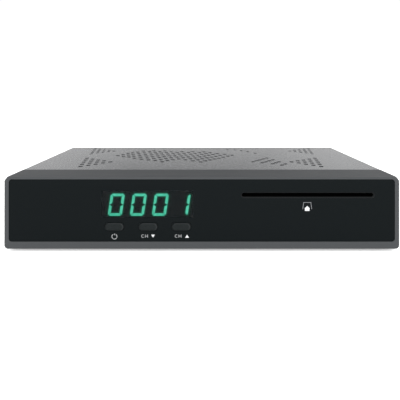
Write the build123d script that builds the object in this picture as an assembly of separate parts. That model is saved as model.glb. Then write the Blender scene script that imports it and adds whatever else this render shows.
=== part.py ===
from build123d import *
import math
import os

# Satellite television receiver, 260 mm wide set-top box.
# Millimetres, +Z up, front towards -Y, +X to the viewer's right.
# Origin: middle of the footprint, on the surface the rubber feet stand on.

# ---------------------------------------------------------------- driving sizes
W = 260.0            # width of the front bezel
FACE_H = 47.2        # height of the front bezel
FOOT_CLEAR = 2.2     # underside of the bezel above the table
BODY_D = 165.0       # front face to the cover's rear edge
BEZEL_D = 30.5       # depth of the moulded bezel
YF = -87.0           # plane of the bezel's front rim
BUTTON_PROUD = 1.0   # button faces in front of the fascia
BUTTON_TRAVEL = 0.8  # key travel
ROCKER_TILT = 10.0   # power rocker, each side of the middle

ZB = FOOT_CLEAR              # bezel underside
ZT = FOOT_CLEAR + FACE_H     # bezel top
YR = YF + BODY_D             # cover's rear face
YBZ = YF + BEZEL_D           # bezel's rear edge
HX = W / 2

WALL = 2.2           # bezel wall
RIM_SIDE = 3.0       # bezel rim left and right of the fascia
RIM_TOP = 1.38
RIM_BOTTOM = 4.82
FASCIA_T = 2.0
FASCIA_SINK = 0.3    # fascia face behind the rim

SHEET = 0.7          # cover sheet
STEP_IN = 0.15       # cover surface below the bezel surface
COVER_X = HX - STEP_IN
COVER_Z1 = ZT - STEP_IN
COVER_Z0 = ZB + 0.5
BEND = 1.3           # cover's long bends, outer radius

BASE_T = 0.8         # chassis sheet
FLOOR0 = COVER_Z0
FLOOR1 = FLOOR0 + BASE_T
PANEL_Y1 = YR - SHEET          # rear panel outer face
PANEL_Y0 = PANEL_Y1 - BASE_T   # rear panel inner face
TIP_Y = -(YF + FASCIA_SINK - BUTTON_PROUD)   # tips of the aerial connectors

BOARD_Z0, BOARD_T = 9.5, 1.6
BOARD_Z1 = BOARD_Z0 + BOARD_T

# fascia features, x from the middle, z from the table
BUTTON_X = {"power": -57.5, "channel_down": -35.3, "channel_up": -13.5}
BUTTON_Z = 14.7 + ZB
BUTTON_W, BUTTON_H = 12.5, 5.2
SLOT_X, SLOT_Z = 69.8, 35.3 + ZB      # card slot centre
SLOT_W, SLOT_H = 86.9, 2.6
DIGIT_X = (-56.65, -42.05, -27.45, -13.0)
DIGIT_Z = 28.55 + ZB
DIGIT_W, DIGIT_H, SEG_T, SLANT = 9.5, 15.1, 2.1, 8.5
WINDOW = (-80.0, -2.5, 20.9, 42.6)    # smoked filter x0, x1, z0, z1
MODULE = (-67.5, -3.5, 22.0, 41.4)    # display module

# rear connectors, x from the middle
LNB_IN_X, LNB_LOOP_X, LNB_Z = 112.0, 93.0, 22.5
HDMI_X, USB_X, SPDIF_X = 70.0, 49.5, 33.0
SCART_TV_X, SCART_VCR_X = -2.0, -57.0
DC_X, DC_Z = -94.0, 16.7
ROCKER_X, ROCKER_Z = -114.0, 20.5


# ---------------------------------------------------------------- small helpers
def block(x0, x1, y0, y1, z0, z1):
    return Pos((x0 + x1) / 2, (y0 + y1) / 2, (z0 + z1) / 2) * Box(x1 - x0, y1 - y0, z1 - z0)


def rod_x(y, z, x0, x1, r):
    return Pos((x0 + x1) / 2, y, z) * Rot(0, 90, 0) * Cylinder(r, x1 - x0)


def rod_y(x, z, y0, y1, r):
    return Pos(x, (y0 + y1) / 2, z) * Rot(90, 0, 0) * Cylinder(r, y1 - y0)


def rod_z(x, y, z0, z1, r):
    return Pos(x, y, (z0 + z1) / 2) * Cylinder(r, z1 - z0)


def slab_y(sketch, y0, y1):
    """A sketch drawn in X (right) and Z (up), made solid from y0 to y1."""
    return extrude(Plane.XZ.offset(-y1) * sketch, amount=y1 - y0, dir=(0, -1, 0))


def slab_z(sketch, z0, z1):
    return extrude(Pos(0, 0, z0) * sketch, amount=z1 - z0, dir=(0, 0, 1))


def along(shape, axis, low):
    """Edges that run along one axis, the lowest or highest two in Z."""
    e = shape.edges().filter_by(axis).sort_by(Axis.Z)
    return e[:2] if low else e[-2:]


def fuse(shapes):
    out = shapes[0]
    for s in shapes[1:]:
        out = out + s
    return out


def cut(base, tools):
    return base - tools


def pan_screw(length, r=1.4, head_r=2.8, head_h=1.7):
    """Cross-head pan screw, head up on z = 0, shank down -Z."""
    head = Cylinder(head_r, head_h, align=(Align.CENTER, Align.CENTER, Align.MIN))
    head = fillet(head.edges().sort_by(Axis.Z)[-1], 0.9)
    shank = Pos(0, 0, -length) * Cylinder(r, length + 0.2, align=(Align.CENTER, Align.CENTER, Align.MIN))
    shank = chamfer(shank.edges().sort_by(Axis.Z)[0], 0.5)
    cross = Pos(0, 0, head_h - 0.45) * (Box(2.9, 0.65, 1.0) + Box(0.65, 2.9, 1.0))
    return head + shank - cross


def group(shapes):
    return Compound(children=[s.solids()[0] if len(s.solids()) == 1 else s for s in shapes])


nodes = {}

# ---------------------------------------------------------------- front bezel
bez = block(-HX, HX, YF, YBZ, ZB, ZT)
bez = fillet(along(bez, Axis.Y, False), 1.6)
bez = fillet(along(bez, Axis.Y, True), 2.5)
# slanting facet across each top front corner
FACET_X, FACET_Y, FACET_Z = 3.2, 6.2, 2.5
for s in (-1, 1):
    middle = (s * (HX - FACET_X / 3), YF + FACET_Y / 3, ZT - FACET_Z / 3)
    facet = Plane(origin=middle, z_dir=(s / FACET_X, -1 / FACET_Y, 1 / FACET_Z))
    bez = bez - facet * Box(18, 18, 6, align=(Align.CENTER, Align.CENTER, Align.MIN))
bez = fillet(bez.faces().sort_by(Axis.Y)[0].edges(), 0.6)
WALL_Y0 = YF + FASCIA_SINK + FASCIA_T      # front wall, behind the fascia
WALL_Y1 = WALL_Y0 + 2.2
room = block(-HX + WALL, HX - WALL, WALL_Y1, YBZ + 1, ZB + WALL, ZT - WALL)
room = fillet(room.edges().filter_by(Axis.Y), 1.4)
bez = bez - room
FX0, FX1 = -HX + RIM_SIDE, HX - RIM_SIDE
FZ0, FZ1 = ZB + RIM_BOTTOM, ZT - RIM_TOP
seat = block(FX0, FX1, YF - 1, WALL_Y0, FZ0, FZ1)
seat = fillet(seat.edges().filter_by(Axis.Y), 2.0)
bez = bez - seat

# tongue that the cover slides over: top and the upper part of both sides
TX = COVER_X - SHEET - 0.15
TZ = COVER_Z1 - SHEET - 0.15
tongue = block(-TX, TX, YBZ - 3, YBZ + 6.0, 20.0, TZ)
tongue = fillet(along(tongue, Axis.Y, False), 0.9)
inner = block(-TX + 1.3, TX - 1.3, YBZ - 4, YBZ + 7, 19.0, TZ - 1.3)
inner = fillet(along(inner, Axis.Y, False), 0.5)
tongue = tongue - inner
bez = bez + tongue

# bosses: three long ones take the chassis screws, four short ones the front board
BEZEL_SCREWS = [(-118.0, 11.0), (18.0, 11.0), (118.0, 11.0)]
FLANGE_Y0 = YBZ + 0.2
FRONT_BOARD_Y0 = YF + 11.0
BOARD_SCREWS = [(-88.0, 11.0), (-88.0, 43.0), (4.0, 11.0), (4.0, 43.0)]
for x, z in BEZEL_SCREWS:
    bez = bez + rod_y(x, z, WALL_Y1 - 0.5, FLANGE_Y0, 3.4)
for x, z in BOARD_SCREWS:
    bez = bez + rod_y(x, z, WALL_Y1 - 0.5, FRONT_BOARD_Y0, 2.9)
# two posts under the front of the card reader
READER_BOARD_Z0 = 30.4
POSTS = [(28.0, -74.0), (111.4, -74.0)]
for x, y in POSTS:
    bez = bez + rod_z(x, y, ZB + WALL - 0.5, READER_BOARD_Z0, 3.0)
# stiffening ribs on the floor of the bezel
for x in (-100.0, -70.0, -40.0, -10.0, 46.0, 70.0, 94.0):
    bez = bez + block(x - 0.6, x + 0.6, WALL_Y1 - 0.3, YBZ - 1.0, ZB + WALL - 0.3, ZB + WALL + 1.6)

holes = [block(MODULE[0] - 0.3, MODULE[1] + 0.3, WALL_Y0 - 1, WALL_Y1 + 1, MODULE[2] - 0.3, MODULE[3] + 0.3)]
IR_X, IR_Z = -75.0, 31.7
holes.append(rod_y(IR_X, IR_Z, WALL_Y0 - 1, WALL_Y1 + 1, 3.2))
for x in BUTTON_X.values():
    holes.append(slab_y(Pos(x, BUTTON_Z) * SlotOverall(BUTTON_W + 0.8, BUTTON_H + 0.8), WALL_Y0 - 1, WALL_Y1 + 1))
holes.append(slab_y(Pos(SLOT_X, SLOT_Z) * SlotOverall(SLOT_W + 3.0, SLOT_H + 2.6), WALL_Y0 - 1, WALL_Y1 + 1))
for x, z in BEZEL_SCREWS:
    holes.append(rod_y(x, z, FLANGE_Y0 - 12, FLANGE_Y0 + 1, 1.25))
for x, z in BOARD_SCREWS:
    holes.append(rod_y(x, z, WALL_Y1 + 0.6, FRONT_BOARD_Y0 + 1, 1.15))
for x, y in POSTS:
    holes.append(rod_z(x, y, READER_BOARD_Z0 - 9, READER_BOARD_Z0 + 1, 1.15))
nodes["front_bezel"] = cut(bez, holes)

# ---------------------------------------------------------------- fascia and window
FY0, FY1 = YF + FASCIA_SINK, WALL_Y0
fas = block(FX0 + 0.1, FX1 - 0.1, FY0, FY1, FZ0 + 0.1, FZ1 - 0.1)
fas = fillet(fas.edges().filter_by(Axis.Y), 1.9)
fas = fillet(fas.faces().sort_by(Axis.Y)[0].edges(), 0.25)
fas = fas - slab_y(Pos(SLOT_X, SLOT_Z) * SlotOverall(SLOT_W, SLOT_H), FY0 - 1, FY1 + 1)
# bevel round the mouth of the card slot
rim = slab_y(Pos(SLOT_X, SLOT_Z) * SlotOverall(SLOT_W + 1.3, SLOT_H + 1.3), FY0 - 0.4, FY0 + 1.2)
rim = chamfer(rim.faces().sort_by(Axis.Y)[-1].edges(), 1.0)
fas = fas - rim
for x in BUTTON_X.values():
    fas = fas - slab_y(Pos(x, BUTTON_Z) * SlotOverall(BUTTON_W + 0.36, BUTTON_H + 0.36), FY0 - 1, FY1 + 1)
wx0, wx1, wz0, wz1 = WINDOW
fas = fas - slab_y(Pos((wx0 + wx1) / 2, (wz0 + wz1) / 2) * RectangleRounded(wx1 - wx0, wz1 - wz0, 0.5), FY0 - 1, FY1 + 1)
nodes["front_fascia"] = fas
nodes["display_window"] = slab_y(
    Pos((wx0 + wx1) / 2, (wz0 + wz1) / 2) * RectangleRounded(wx1 - wx0 - 0.06, wz1 - wz0 - 0.06, 0.47), FY0, FY1)

# ---------------------------------------------------------------- buttons and tact switches
CAP_Y0 = FY0 - BUTTON_PROUD            # face of the cap
FLANGE_CAP = WALL_Y1 + 0.1             # retaining flange, just behind the wall
PLUNGER_Y0 = FLANGE_CAP + 1.0
TACT_Y0 = FRONT_BOARD_Y0 - 3.5
plunger_names = {"power": "power_switch_plunger", "channel_down": "channel_down_switch_plunger",
                 "channel_up": "channel_up_switch_plunger"}
tacts = []
for name, x in BUTTON_X.items():
    cap = slab_y(Pos(x, BUTTON_Z) * SlotOverall(BUTTON_W, BUTTON_H), CAP_Y0, FLANGE_CAP + 0.2)
    cap = fillet(cap.faces().sort_by(Axis.Y)[0].edges(), 0.85)
    cap = cap + slab_y(Pos(x, BUTTON_Z) * RectangleRounded(15.4, 7.6, 1.2), FLANGE_CAP, PLUNGER_Y0)
    nodes[name + "_button"] = cap
    nodes[plunger_names[name]] = rod_y(x, BUTTON_Z, PLUNGER_Y0, TACT_Y0 + 1.4, 1.75)
    tact = block(x - 3, x + 3, TACT_Y0, FRONT_BOARD_Y0, BUTTON_Z - 3, BUTTON_Z + 3)
    tact = fillet(tact.edges().filter_by(Axis.Y), 0.4)
    tact = tact - rod_y(x, BUTTON_Z, TACT_Y0 - 1, TACT_Y0 + 2.6, 1.80)
    tacts.append(tact)
nodes["tact_switch_bodies"] = group(tacts)

# ---------------------------------------------------------------- front board
FBY0, FBY1 = FRONT_BOARD_Y0, FRONT_BOARD_Y0 + 1.6
fb = block(-92.0, 8.0, FBY0, FBY1, 6.8, 46.2)
fb = fillet(fb.edges().filter_by(Axis.Y), 1.0)
fb = cut(fb, [rod_y(x, z, FBY0 - 1, FBY1 + 1, 1.6) for x, z in BOARD_SCREWS])
nodes["front_board"] = fb
fbs = []
for x, z in BOARD_SCREWS:
    fbs.append(Pos(x, FBY1, z) * Rot(-90, 0, 0) * pan_screw(5.0, 1.1, 2.3, 1.5))
nodes["front_board_screws"] = group(fbs)

# display module and its segments
mx0, mx1, mz0, mz1 = MODULE
MY0 = WALL_Y0 + 0.3                    # face of the module, just behind the filter
mod = block(mx0, mx1, MY0, FBY0, mz0, mz1)


def seg_poly(pts, cx):
    k = math.tan(math.radians(SLANT))
    return Polygon(*[(cx + u + v * k, DIGIT_Z + v) for u, v in pts], align=None)


def digit_segments(cx):
    w, h, t = DIGIT_W / 2, DIGIT_H / 2, SEG_T
    c, s = 1.15, 0.12          # corner cut, half the gap between segments
    a = [(-w + c + s, h), (w - c - s, h), (w - c / 2 - s, h - c / 2 - s * 0.2), (w - t - s, h - t), (-w + t + s, h - t),
         (-w + c / 2 + s, h - c / 2 - s * 0.2)]
    b = [(w, h - c - s), (w - c / 2, h - c / 2 - s), (w - t, h - t - s), (w - t, t / 2 + 0.25), (w - 0.35, 0.2), (w, 0.2)]
    f = [(-u, v) for u, v in b][::-1]
    c_ = [(u, -v) for u, v in b][::-1]
    e = [(-u, -v) for u, v in b]
    d = [(u, -v) for u, v in a][::-1]
    g = [(-w + 0.75, 0.0), (-w + t + 0.15, t / 2 - 0.1), (w - t - 0.15, t / 2 - 0.1), (w - 0.75, 0.0),
         (w - t - 0.15, -t / 2 + 0.1), (-w + t + 0.15, -t / 2 + 0.1)]
    return {"a": a, "b": b, "c": c_, "d": d, "e": e, "f": f, "g": g}


LIT = ("abcdef", "abcdef", "abcdef", "bc")      # 0 0 0 1
lit, unlit = [], []
for cx, on in zip(DIGIT_X, LIT):
    for key, pts in digit_segments(cx).items():
        bar = slab_y(seg_poly(pts, cx), MY0, MY0 + 0.6)
        (lit if key in on else unlit).append(bar)
    # decimal point, off
    unlit.append(rod_y(cx + 5.0, DIGIT_Z - DIGIT_H / 2 + 0.9, MY0, MY0 + 0.6, 0.8))
mod = cut(mod, [s for s in lit + unlit])
nodes["display_module"] = mod
nodes["display_segments_lit"] = group(lit)
nodes["display_segments_unlit"] = group(unlit)

ir = block(IR_X - 2.6, IR_X + 2.6, FBY0 - 3.2, FBY0, IR_Z - 3.4, IR_Z + 3.4)
ir = ir + Pos(IR_X, FBY0 - 3.2, IR_Z) * Sphere(2.2)
nodes["ir_receiver"] = ir

# ---------------------------------------------------------------- card reader
rdz0 = READER_BOARD_Z0
rdz1 = rdz0 + 1.6
rd = block(21.5, 117.9, -82.0, -27.0, rdz0, rdz1)
rd = fillet(rd.edges().filter_by(Axis.Z), 1.5)
READER_SCREWS = [(28.0, -74.0), (111.4, -74.0), (28.0, -32.0), (111.4, -32.0)]
rd = cut(rd, [rod_z(x, y, rdz0 - 1, rdz1 + 1, 1.6) for x, y in READER_SCREWS])
nodes["card_reader_board"] = rd

CARD_Z0, CARD_Z1 = SLOT_Z - 0.75, SLOT_Z + 0.85
RX0, RX1 = SLOT_X - 46.5, SLOT_X + 46.5
STOP_Y = -41.0
fr = block(RX0, RX1, -82.3, STOP_Y + 2.2, rdz1, CARD_Z1 + 2.0)
fr = fillet(fr.edges().filter_by(Axis.Z), 1.2)
fr = fr - block(SLOT_X - 43.4, SLOT_X + 43.4, -84, STOP_Y, CARD_Z0, CARD_Z1)
# flared mouth
mouth = block(SLOT_X - 43.4, SLOT_X + 43.4, -83.3, -80.3, CARD_Z0 - 0.9, CARD_Z1 + 0.9)
mouth = chamfer(mouth.faces().sort_by(Axis.Y)[-1].edges().filter_by(Axis.X), 0.85)
fr = fr - mouth
# window in the roof and lightening pockets underneath
fr = fr - block(SLOT_X - 30, SLOT_X + 30, -74, -50, CARD_Z1 - 0.5, CARD_Z1 + 3)
fr = cut(fr, [block(SLOT_X - 38, SLOT_X + 8, -70, -48, rdz1 - 1, CARD_Z0 - 1.4)])
# clearance for the two front screw heads
for x, y in READER_SCREWS[:2]:
    fr = fr - rod_z(x, y, rdz1 - 1, rdz1 + 2.4, 3.0)
CHIP_X, CHIP_Y = 96.5, -62.0
contacts = []
for row in (-3.81, 3.81):
    for i in range(4):
        x = CHIP_X + (i - 1.5) * 2.54
        y = CHIP_Y + row
        fr = fr - block(x - 0.75, x + 0.75, y - 2.2, y + 2.2, CARD_Z0 - 1.2, CARD_Z0 + 0.01)
        leaf = block(x - 0.5, x + 0.5, y - 2.0, y + 2.0, CARD_Z0 - 1.2, CARD_Z0 - 0.8)
        leaf = leaf + rod_x(y + 0.6, CARD_Z0 - 0.75, x - 0.5, x + 0.5, 0.95) - block(
            x - 1, x + 1, y - 3, y + 3, CARD_Z0 - 3, CARD_Z0 - 1.2)
        contacts.append(leaf)
nodes["card_reader_frame"] = fr
nodes["card_contacts"] = group(contacts)

pill = []
for x, y in READER_SCREWS[2:]:
    p = slab_z(Pos(x, y) * RegularPolygon(3.0, 6), BOARD_Z1, rdz0)
    p = p - rod_z(x, y, rdz0 - 6, rdz0 + 1, 1.3)
    pill.append(p)
nodes["card_reader_pillars"] = group(pill)
rs = []
for x, y in READER_SCREWS:
    rs.append(Pos(x, y, rdz1) * pan_screw(5.0, 1.1, 2.4, 1.5))
nodes["card_reader_screws"] = group(rs)

# ---------------------------------------------------------------- chassis
base = block(-COVER_X + SHEET + 0.1, COVER_X - SHEET - 0.1, FLANGE_Y0, PANEL_Y1, FLOOR0, FLOOR1)
BX = COVER_X - SHEET - 0.1
base = base + block(-BX + 1.4, BX - 1.4, FLANGE_Y0, FLANGE_Y0 + BASE_T, FLOOR0, 18.0)
for s in (-1, 1):
    x0, x1 = sorted((s * BX, s * (BX - BASE_T)))
    base = base + block(x0, x1, FLANGE_Y0 + 1.6, PANEL_Y0 - 0.2, FLOOR0, 17.0)
# rear panel
panel = block(-BX, BX, PANEL_Y0, PANEL_Y1, FLOOR0, COVER_Z1 - SHEET - 0.2)
base = base + fillet(along(panel, Axis.Y, False), 1.0)
STANDOFFS = [(-116.0, -36.0), (10.0, -36.0), (116.0, -36.0), (-116.0, 38.0), (10.0, 38.0), (116.0, 38.0)]
cuts = []
# front flange: screw holes and a notch for the ribbon
for x, z in BEZEL_SCREWS:
    cuts.append(rod_y(x, z, FLANGE_Y0 - 1, FLANGE_Y0 + 2, 1.7))
# side flange holes
SIDE_SCREW_Y, SIDE_SCREW_Z = (-28.0, 52.0), 9.6
for y in SIDE_SCREW_Y:
    cuts.append(rod_x(y, SIDE_SCREW_Z, -HX - 2, -BX + 3, 1.5))
    cuts.append(rod_x(y, SIDE_SCREW_Z, BX - 3, HX + 2, 1.5))
# floor vents: two fields of slots
for cx in (-62.0, 62.0):
    for i in range(9):
        for j in range(3):
            cuts.append(slab_z(Pos(cx + (i - 4) * 8.0, -8.0 + (j - 1) * 20.0) * Rot(0, 0, 90) * SlotOverall(14.0, 3.0),
                               FLOOR0 - 1, FLOOR1 + 1))
# rear panel openings
for x in (LNB_IN_X, LNB_LOOP_X):
    cuts.append(rod_y(x, LNB_Z, PANEL_Y0 - 1, PANEL_Y1 + 1, 4.95))
HDMI_Z = BOARD_Z1 + 3.2
USB_Z = BOARD_Z1 + 3.6
SPDIF_Z = BOARD_Z1 + 7.0
SCART_W, SCART_H = 50.0, 16.6
SCART_Z = BOARD_Z1 + SCART_H / 2
cuts.append(slab_y(Pos(HDMI_X, HDMI_Z) * RectangleRounded(15.8, 6.9, 0.8), PANEL_Y0 - 1, PANEL_Y1 + 1))
cuts.append(slab_y(Pos(USB_X, USB_Z) * RectangleRounded(14.0, 7.7, 0.8), PANEL_Y0 - 1, PANEL_Y1 + 1))
cuts.append(rod_y(SPDIF_X, SPDIF_Z, PANEL_Y0 - 1, PANEL_Y1 + 1, 4.6))
for x in (SCART_TV_X, SCART_VCR_X):
    cuts.append(slab_y(Pos(x, SCART_Z) * RectangleRounded(SCART_W + 0.6, SCART_H + 0.6, 0.8), PANEL_Y0 - 1, PANEL_Y1 + 1))
cuts.append(slab_y(Pos(DC_X, DC_Z) * RectangleRounded(9.6, 11.6, 0.6), PANEL_Y0 - 1, PANEL_Y1 + 1))
cuts.append(slab_y(Pos(ROCKER_X, ROCKER_Z) * RectangleRounded(19.2, 13.2, 0.6), PANEL_Y0 - 1, PANEL_Y1 + 1))
REAR_SCREWS = [-104.0, 0.0, 104.0]
REAR_SCREW_Z = COVER_Z1 - 4.2
for x in REAR_SCREWS:
    cuts.append(rod_y(x, REAR_SCREW_Z, PANEL_Y0 - 1, PANEL_Y1 + 1, 1.5))
# rear vents above the sockets
for i in range(14):
    cuts.append(slab_y(Pos(-78.0 + i * 8.0, 35.5) * Rot(0, 0, 90) * SlotOverall(8.0, 2.6), PANEL_Y0 - 1, PANEL_Y1 + 1))
nodes["chassis_base"] = cut(base, cuts)

# ---------------------------------------------------------------- top cover
cov = block(-COVER_X, COVER_X, YBZ + 0.25, YR, COVER_Z0, COVER_Z1)
cov = fillet(along(cov, Axis.Y, False), BEND)
hollow = block(-COVER_X + SHEET, COVER_X - SHEET, YBZ - 1, YR + 1, COVER_Z0 - 1, COVER_Z1 - SHEET)
hollow = fillet(along(hollow, Axis.Y, False), BEND - SHEET)
cov = cov - hollow
lip = block(-COVER_X + 4.5, COVER_X - 4.5, YR - SHEET, YR, COVER_Z1 - 8.2, COVER_Z1 - 0.3)
cov = cov + lip

# vent pattern: plan positions, x from the middle, d behind the front face
SLOT_L, SLOT_WD = 6.1, 3.2
vents = []


def vent(x, d, lean, wide=SLOT_WD, long=SLOT_L):
    vents.append((x, d, lean, wide, long))


def step(pitch, lean, k):
    """Sideways drift of the k-th slot of a leaning column."""
    return k * pitch * math.tan(math.radians(lean))


# corner triangles, left and right: five columns of five to one slots, and the same again near the rear edge
TRI_LEAN = 7.3
TRI_FRONT = ((90.6, 45.8, 5), (86.1, 51.5, 4), (81.5, 56.9, 3), (77.3, 63.5, 2), (72.6, 68.7, 1))
TRI_REAR = ((99.7, 117.6, 5), (95.8, 124.2, 4), (91.6, 128.1, 3), (87.3, 133.9, 2), (83.1, 137.4, 1))
for middle, pitch, columns, wide, long in ((-0.7, 11.0, TRI_FRONT, 3.2, 6.1), (0.0, 9.4, TRI_REAR, 2.6, 5.2)):
    for x0, d0, n in columns:
        for k in range(n):
            x = x0 + step(pitch, TRI_LEAN, k)
            vent(middle - x, d0 + k * pitch, TRI_LEAN, wide, long)
            vent(middle + x, d0 + k * pitch, -TRI_LEAN, wide, long)
# fan of four rows right of the middle field
for x0, d0, n in ((41.2, 69.8, 5), (48.0, 64.3, 4), (55.2, 58.9, 3), (61.5, 52.7, 2)):
    for k in range(n):
        vent(x0 + 3.45 * k, d0 + 5.2 * k, -16.0, 3.0, 5.6)
# five narrow slots behind it
for x, d in ((24.8, 148.3), (31.7, 146.1), (37.5, 141.5), (42.7, 133.3), (48.4, 121.6)):
    vent(x, d, 14.0, 2.1, 6.0)
# middle field: leaning columns between a zigzag front line and a domed rear line
FIELD_PITCH, FIELD_LEAN = 11.6, 10.9
feet_line = [(-73.7, 105.6), (-68.0, 100.9), (-62.5, 97.0), (-56.9, 89.8), (-50.3, 83.8), (-44.0, 79.9), (-38.1, 76.6),
             (-31.8, 70.1), (-28.1, 76.4), (-23.8, 80.9), (-19.5, 85.4), (-13.6, 80.6), (-7.3, 74.6), (-1.0, 68.6),
             (2.7, 74.5), (6.7, 79.9), (10.5, 85.1), (14.4, 90.2), (18.3, 95.8), (22.7, 102.4), (26.7, 108.7)]
top_line = [(-73.7, 106.9), (-68.0, 113.9), (-62.5, 122.4), (-56.9, 126.3), (-50.1, 131.8), (-44.0, 138.8), (-37.4, 141.3),
            (-29.5, 141.8), (-17.7, 138.3), (0.0, 135.3), (14.9, 130.3), (26.7, 119.4)]


def top_at(x):
    for (xa, da), (xb, db) in zip(top_line, top_line[1:]):
        if xa <= x <= xb:
            return da + (db - da) * (x - xa) / (xb - xa)
    return top_line[-1][1]


for x, d in feet_line:
    k = 0
    while d + k * FIELD_PITCH <= top_at(x) + 0.5:
        vent(x - step(FIELD_PITCH, FIELD_LEAN, k), d + k * FIELD_PITCH, FIELD_LEAN)
        k += 1
tools = []
for x, d, lean, wide, long in vents:
    sk = Pos(x, YF + d) * Rot(0, 0, 90 + lean) * SlotOverall(long, wide)
    tools.append(slab_z(sk, COVER_Z1 - 2, COVER_Z1 + 1))
# side louvres, two short rows low on each side
for s in (-1, 1):
    for i in range(8):
        y = 2.0 + i * 6.5
        if abs(y - SIDE_SCREW_Y[1]) < 5:
            continue
        tools.append(Pos(s * COVER_X, y, 31.0) * Rot(0, 90, 0) * extrude(SlotOverall(16.0, 2.2), 4, both=True))
for y in SIDE_SCREW_Y:
    tools.append(rod_x(y, SIDE_SCREW_Z, -HX - 2, -BX + 3, 1.7))
    tools.append(rod_x(y, SIDE_SCREW_Z, BX - 3, HX + 2, 1.7))
for x in REAR_SCREWS:
    tools.append(rod_y(x, REAR_SCREW_Z, YR - 2, YR + 1, 1.7))
nodes["top_cover"] = cut(cov, tools)
print("vent slots", len(vents))

# ---------------------------------------------------------------- feet and screws
feet = []
for x in (-106.0, 106.0):
    for y in (-38.0, 62.0):
        f = rod_z(x, y, 0.0, FLOOR0, 7.5)
        f = chamfer(f.edges().sort_by(Axis.Z)[0], 0.8)
        feet.append(f)
nodes["rubber_feet"] = group(feet)

ss = []
for y in SIDE_SCREW_Y:
    ss.append(Pos(COVER_X, y, SIDE_SCREW_Z) * Rot(0, 90, 0) * pan_screw(5.0))
    ss.append(Pos(-COVER_X, y, SIDE_SCREW_Z) * Rot(0, -90, 0) * pan_screw(5.0))
nodes["cover_side_screws"] = group(ss)
nodes["cover_rear_screws"] = group([Pos(x, YR, REAR_SCREW_Z) * Rot(-90, 0, 0) * pan_screw(5.0) for x in REAR_SCREWS])
nodes["bezel_screws"] = group(
    [Pos(x, FLANGE_Y0 + BASE_T, z) * Rot(-90, 0, 0) * pan_screw(9.0, 1.2, 2.8, 1.7) for x, z in BEZEL_SCREWS])

# ---------------------------------------------------------------- main board
MBY0, MBY1 = -44.0, PANEL_Y0 - 0.8
mb = block(-122.0, 122.0, MBY0, MBY1, BOARD_Z0, BOARD_Z1)
mb = fillet(mb.edges().filter_by(Axis.Z), 1.5)
mb = cut(mb, [rod_z(x, y, BOARD_Z0 - 1, BOARD_Z1 + 1, 1.7) for x, y in STANDOFFS])
nodes["main_board"] = mb
nodes["board_standoffs"] = group(
    [rod_z(x, y, FLOOR1, BOARD_Z0, 3.0) - rod_z(x, y, FLOOR1 + 0.4, BOARD_Z0 + 1, 1.45) for x, y in STANDOFFS])
nodes["main_board_screws"] = group([Pos(x, y, BOARD_Z1) * pan_screw(5.4, 1.4, 2.7, 1.7) for x, y in STANDOFFS])

# tuner: tin can, lid, two aerial connectors with washers and nuts
CAN = (83.5, 121.5, 47.0, PANEL_Y0 - 0.2, BOARD_Z1, 33.0)
can = block(*CAN) - block(CAN[0] + 0.5, CAN[1] - 0.5, CAN[2] + 0.5, CAN[3] - 0.5, CAN[4] + 0.5, CAN[5] + 1)
can = can + block(102.2, 102.8, CAN[2] + 0.4, CAN[3] - 0.4, CAN[4] + 0.4, CAN[5])
for x in (LNB_IN_X, LNB_LOOP_X):
    can = can - rod_y(x, LNB_Z, CAN[3] - 1, CAN[3] + 1, 3.0)
nodes["tuner_can"] = can
lid = block(CAN[0] - 0.45, CAN[1] + 0.45, CAN[2] - 0.45, CAN[3], CAN[5], CAN[5] + 0.4)
lid = lid + block(CAN[0] - 0.45, CAN[0] - 0.05, CAN[2] + 3, CAN[3] - 5, CAN[5] - 4, CAN[5] + 0.4)
lid = lid + block(CAN[1] + 0.05, CAN[1] + 0.45, CAN[2] + 3, CAN[3] - 5, CAN[5] - 4, CAN[5] + 0.4)
lid = lid + block(CAN[0] + 3, CAN[1] - 3, CAN[2] - 0.45, CAN[2] - 0.05, CAN[5] - 4, CAN[5] + 0.4)
nodes["tuner_lid"] = lid


def f_connector(x):
    y0 = CAN[3]
    c = rod_y(x, LNB_Z, y0, PANEL_Y1 + 2.9, 4.55)            # thread run-out under the nut
    c = c + rod_y(x, LNB_Z, PANEL_Y1 + 2.9, TIP_Y, 4.76)     # threaded barrel
    c = chamfer(c.faces().sort_by(Axis.Y)[-1].edges(), 0.35)
    c = c + rod_y(x, LNB_Z, y0 - 4.0, y0 + 0.5, 2.95)        # tail inside the can
    c = c - rod_y(x, LNB_Z, TIP_Y - 0.6, TIP_Y + 1, 3.6)     # recessed insulator
    c = c - rod_y(x, LNB_Z, TIP_Y - 6.0, TIP_Y + 1, 0.7)     # centre contact
    return c


nodes["lnb_in_connector"] = f_connector(LNB_IN_X)
nodes["lnb_loop_connector"] = f_connector(LNB_LOOP_X)
wash, nuts = [], []
for x in (LNB_IN_X, LNB_LOOP_X):
    wash.append(rod_y(x, LNB_Z, PANEL_Y1, PANEL_Y1 + 0.6, 7.4) - rod_y(x, LNB_Z, PANEL_Y1 - 1, PANEL_Y1 + 2, 4.6))
    nut = slab_y(Pos(x, LNB_Z) * RegularPolygon(6.6, 6, rotation=30), PANEL_Y1 + 0.6, PANEL_Y1 + 2.8)
    nut = nut & Pos(x, PANEL_Y1 + 1.7, LNB_Z) * Rot(90, 0, 0) * chamfer(
        Cylinder(6.7, 2.2).edges().filter_by(GeomType.CIRCLE), 0.35)
    nuts.append(nut - rod_y(x, LNB_Z, PANEL_Y1, PANEL_Y1 + 4, 4.6))
nodes["connector_washers"] = group(wash)
nodes["connector_nuts"] = group(nuts)

# HDMI receptacle
hz0, hz1 = BOARD_Z1, BOARD_Z1 + 6.3


def trapezoid(w, h, cutx, cutz):
    return Polygon((-w / 2 + cutx, -h / 2), (w / 2 - cutx, -h / 2), (w / 2, -h / 2 + cutz), (w / 2, h / 2),
                   (-w / 2, h / 2), (-w / 2, -h / 2 + cutz), align=None)


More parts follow.
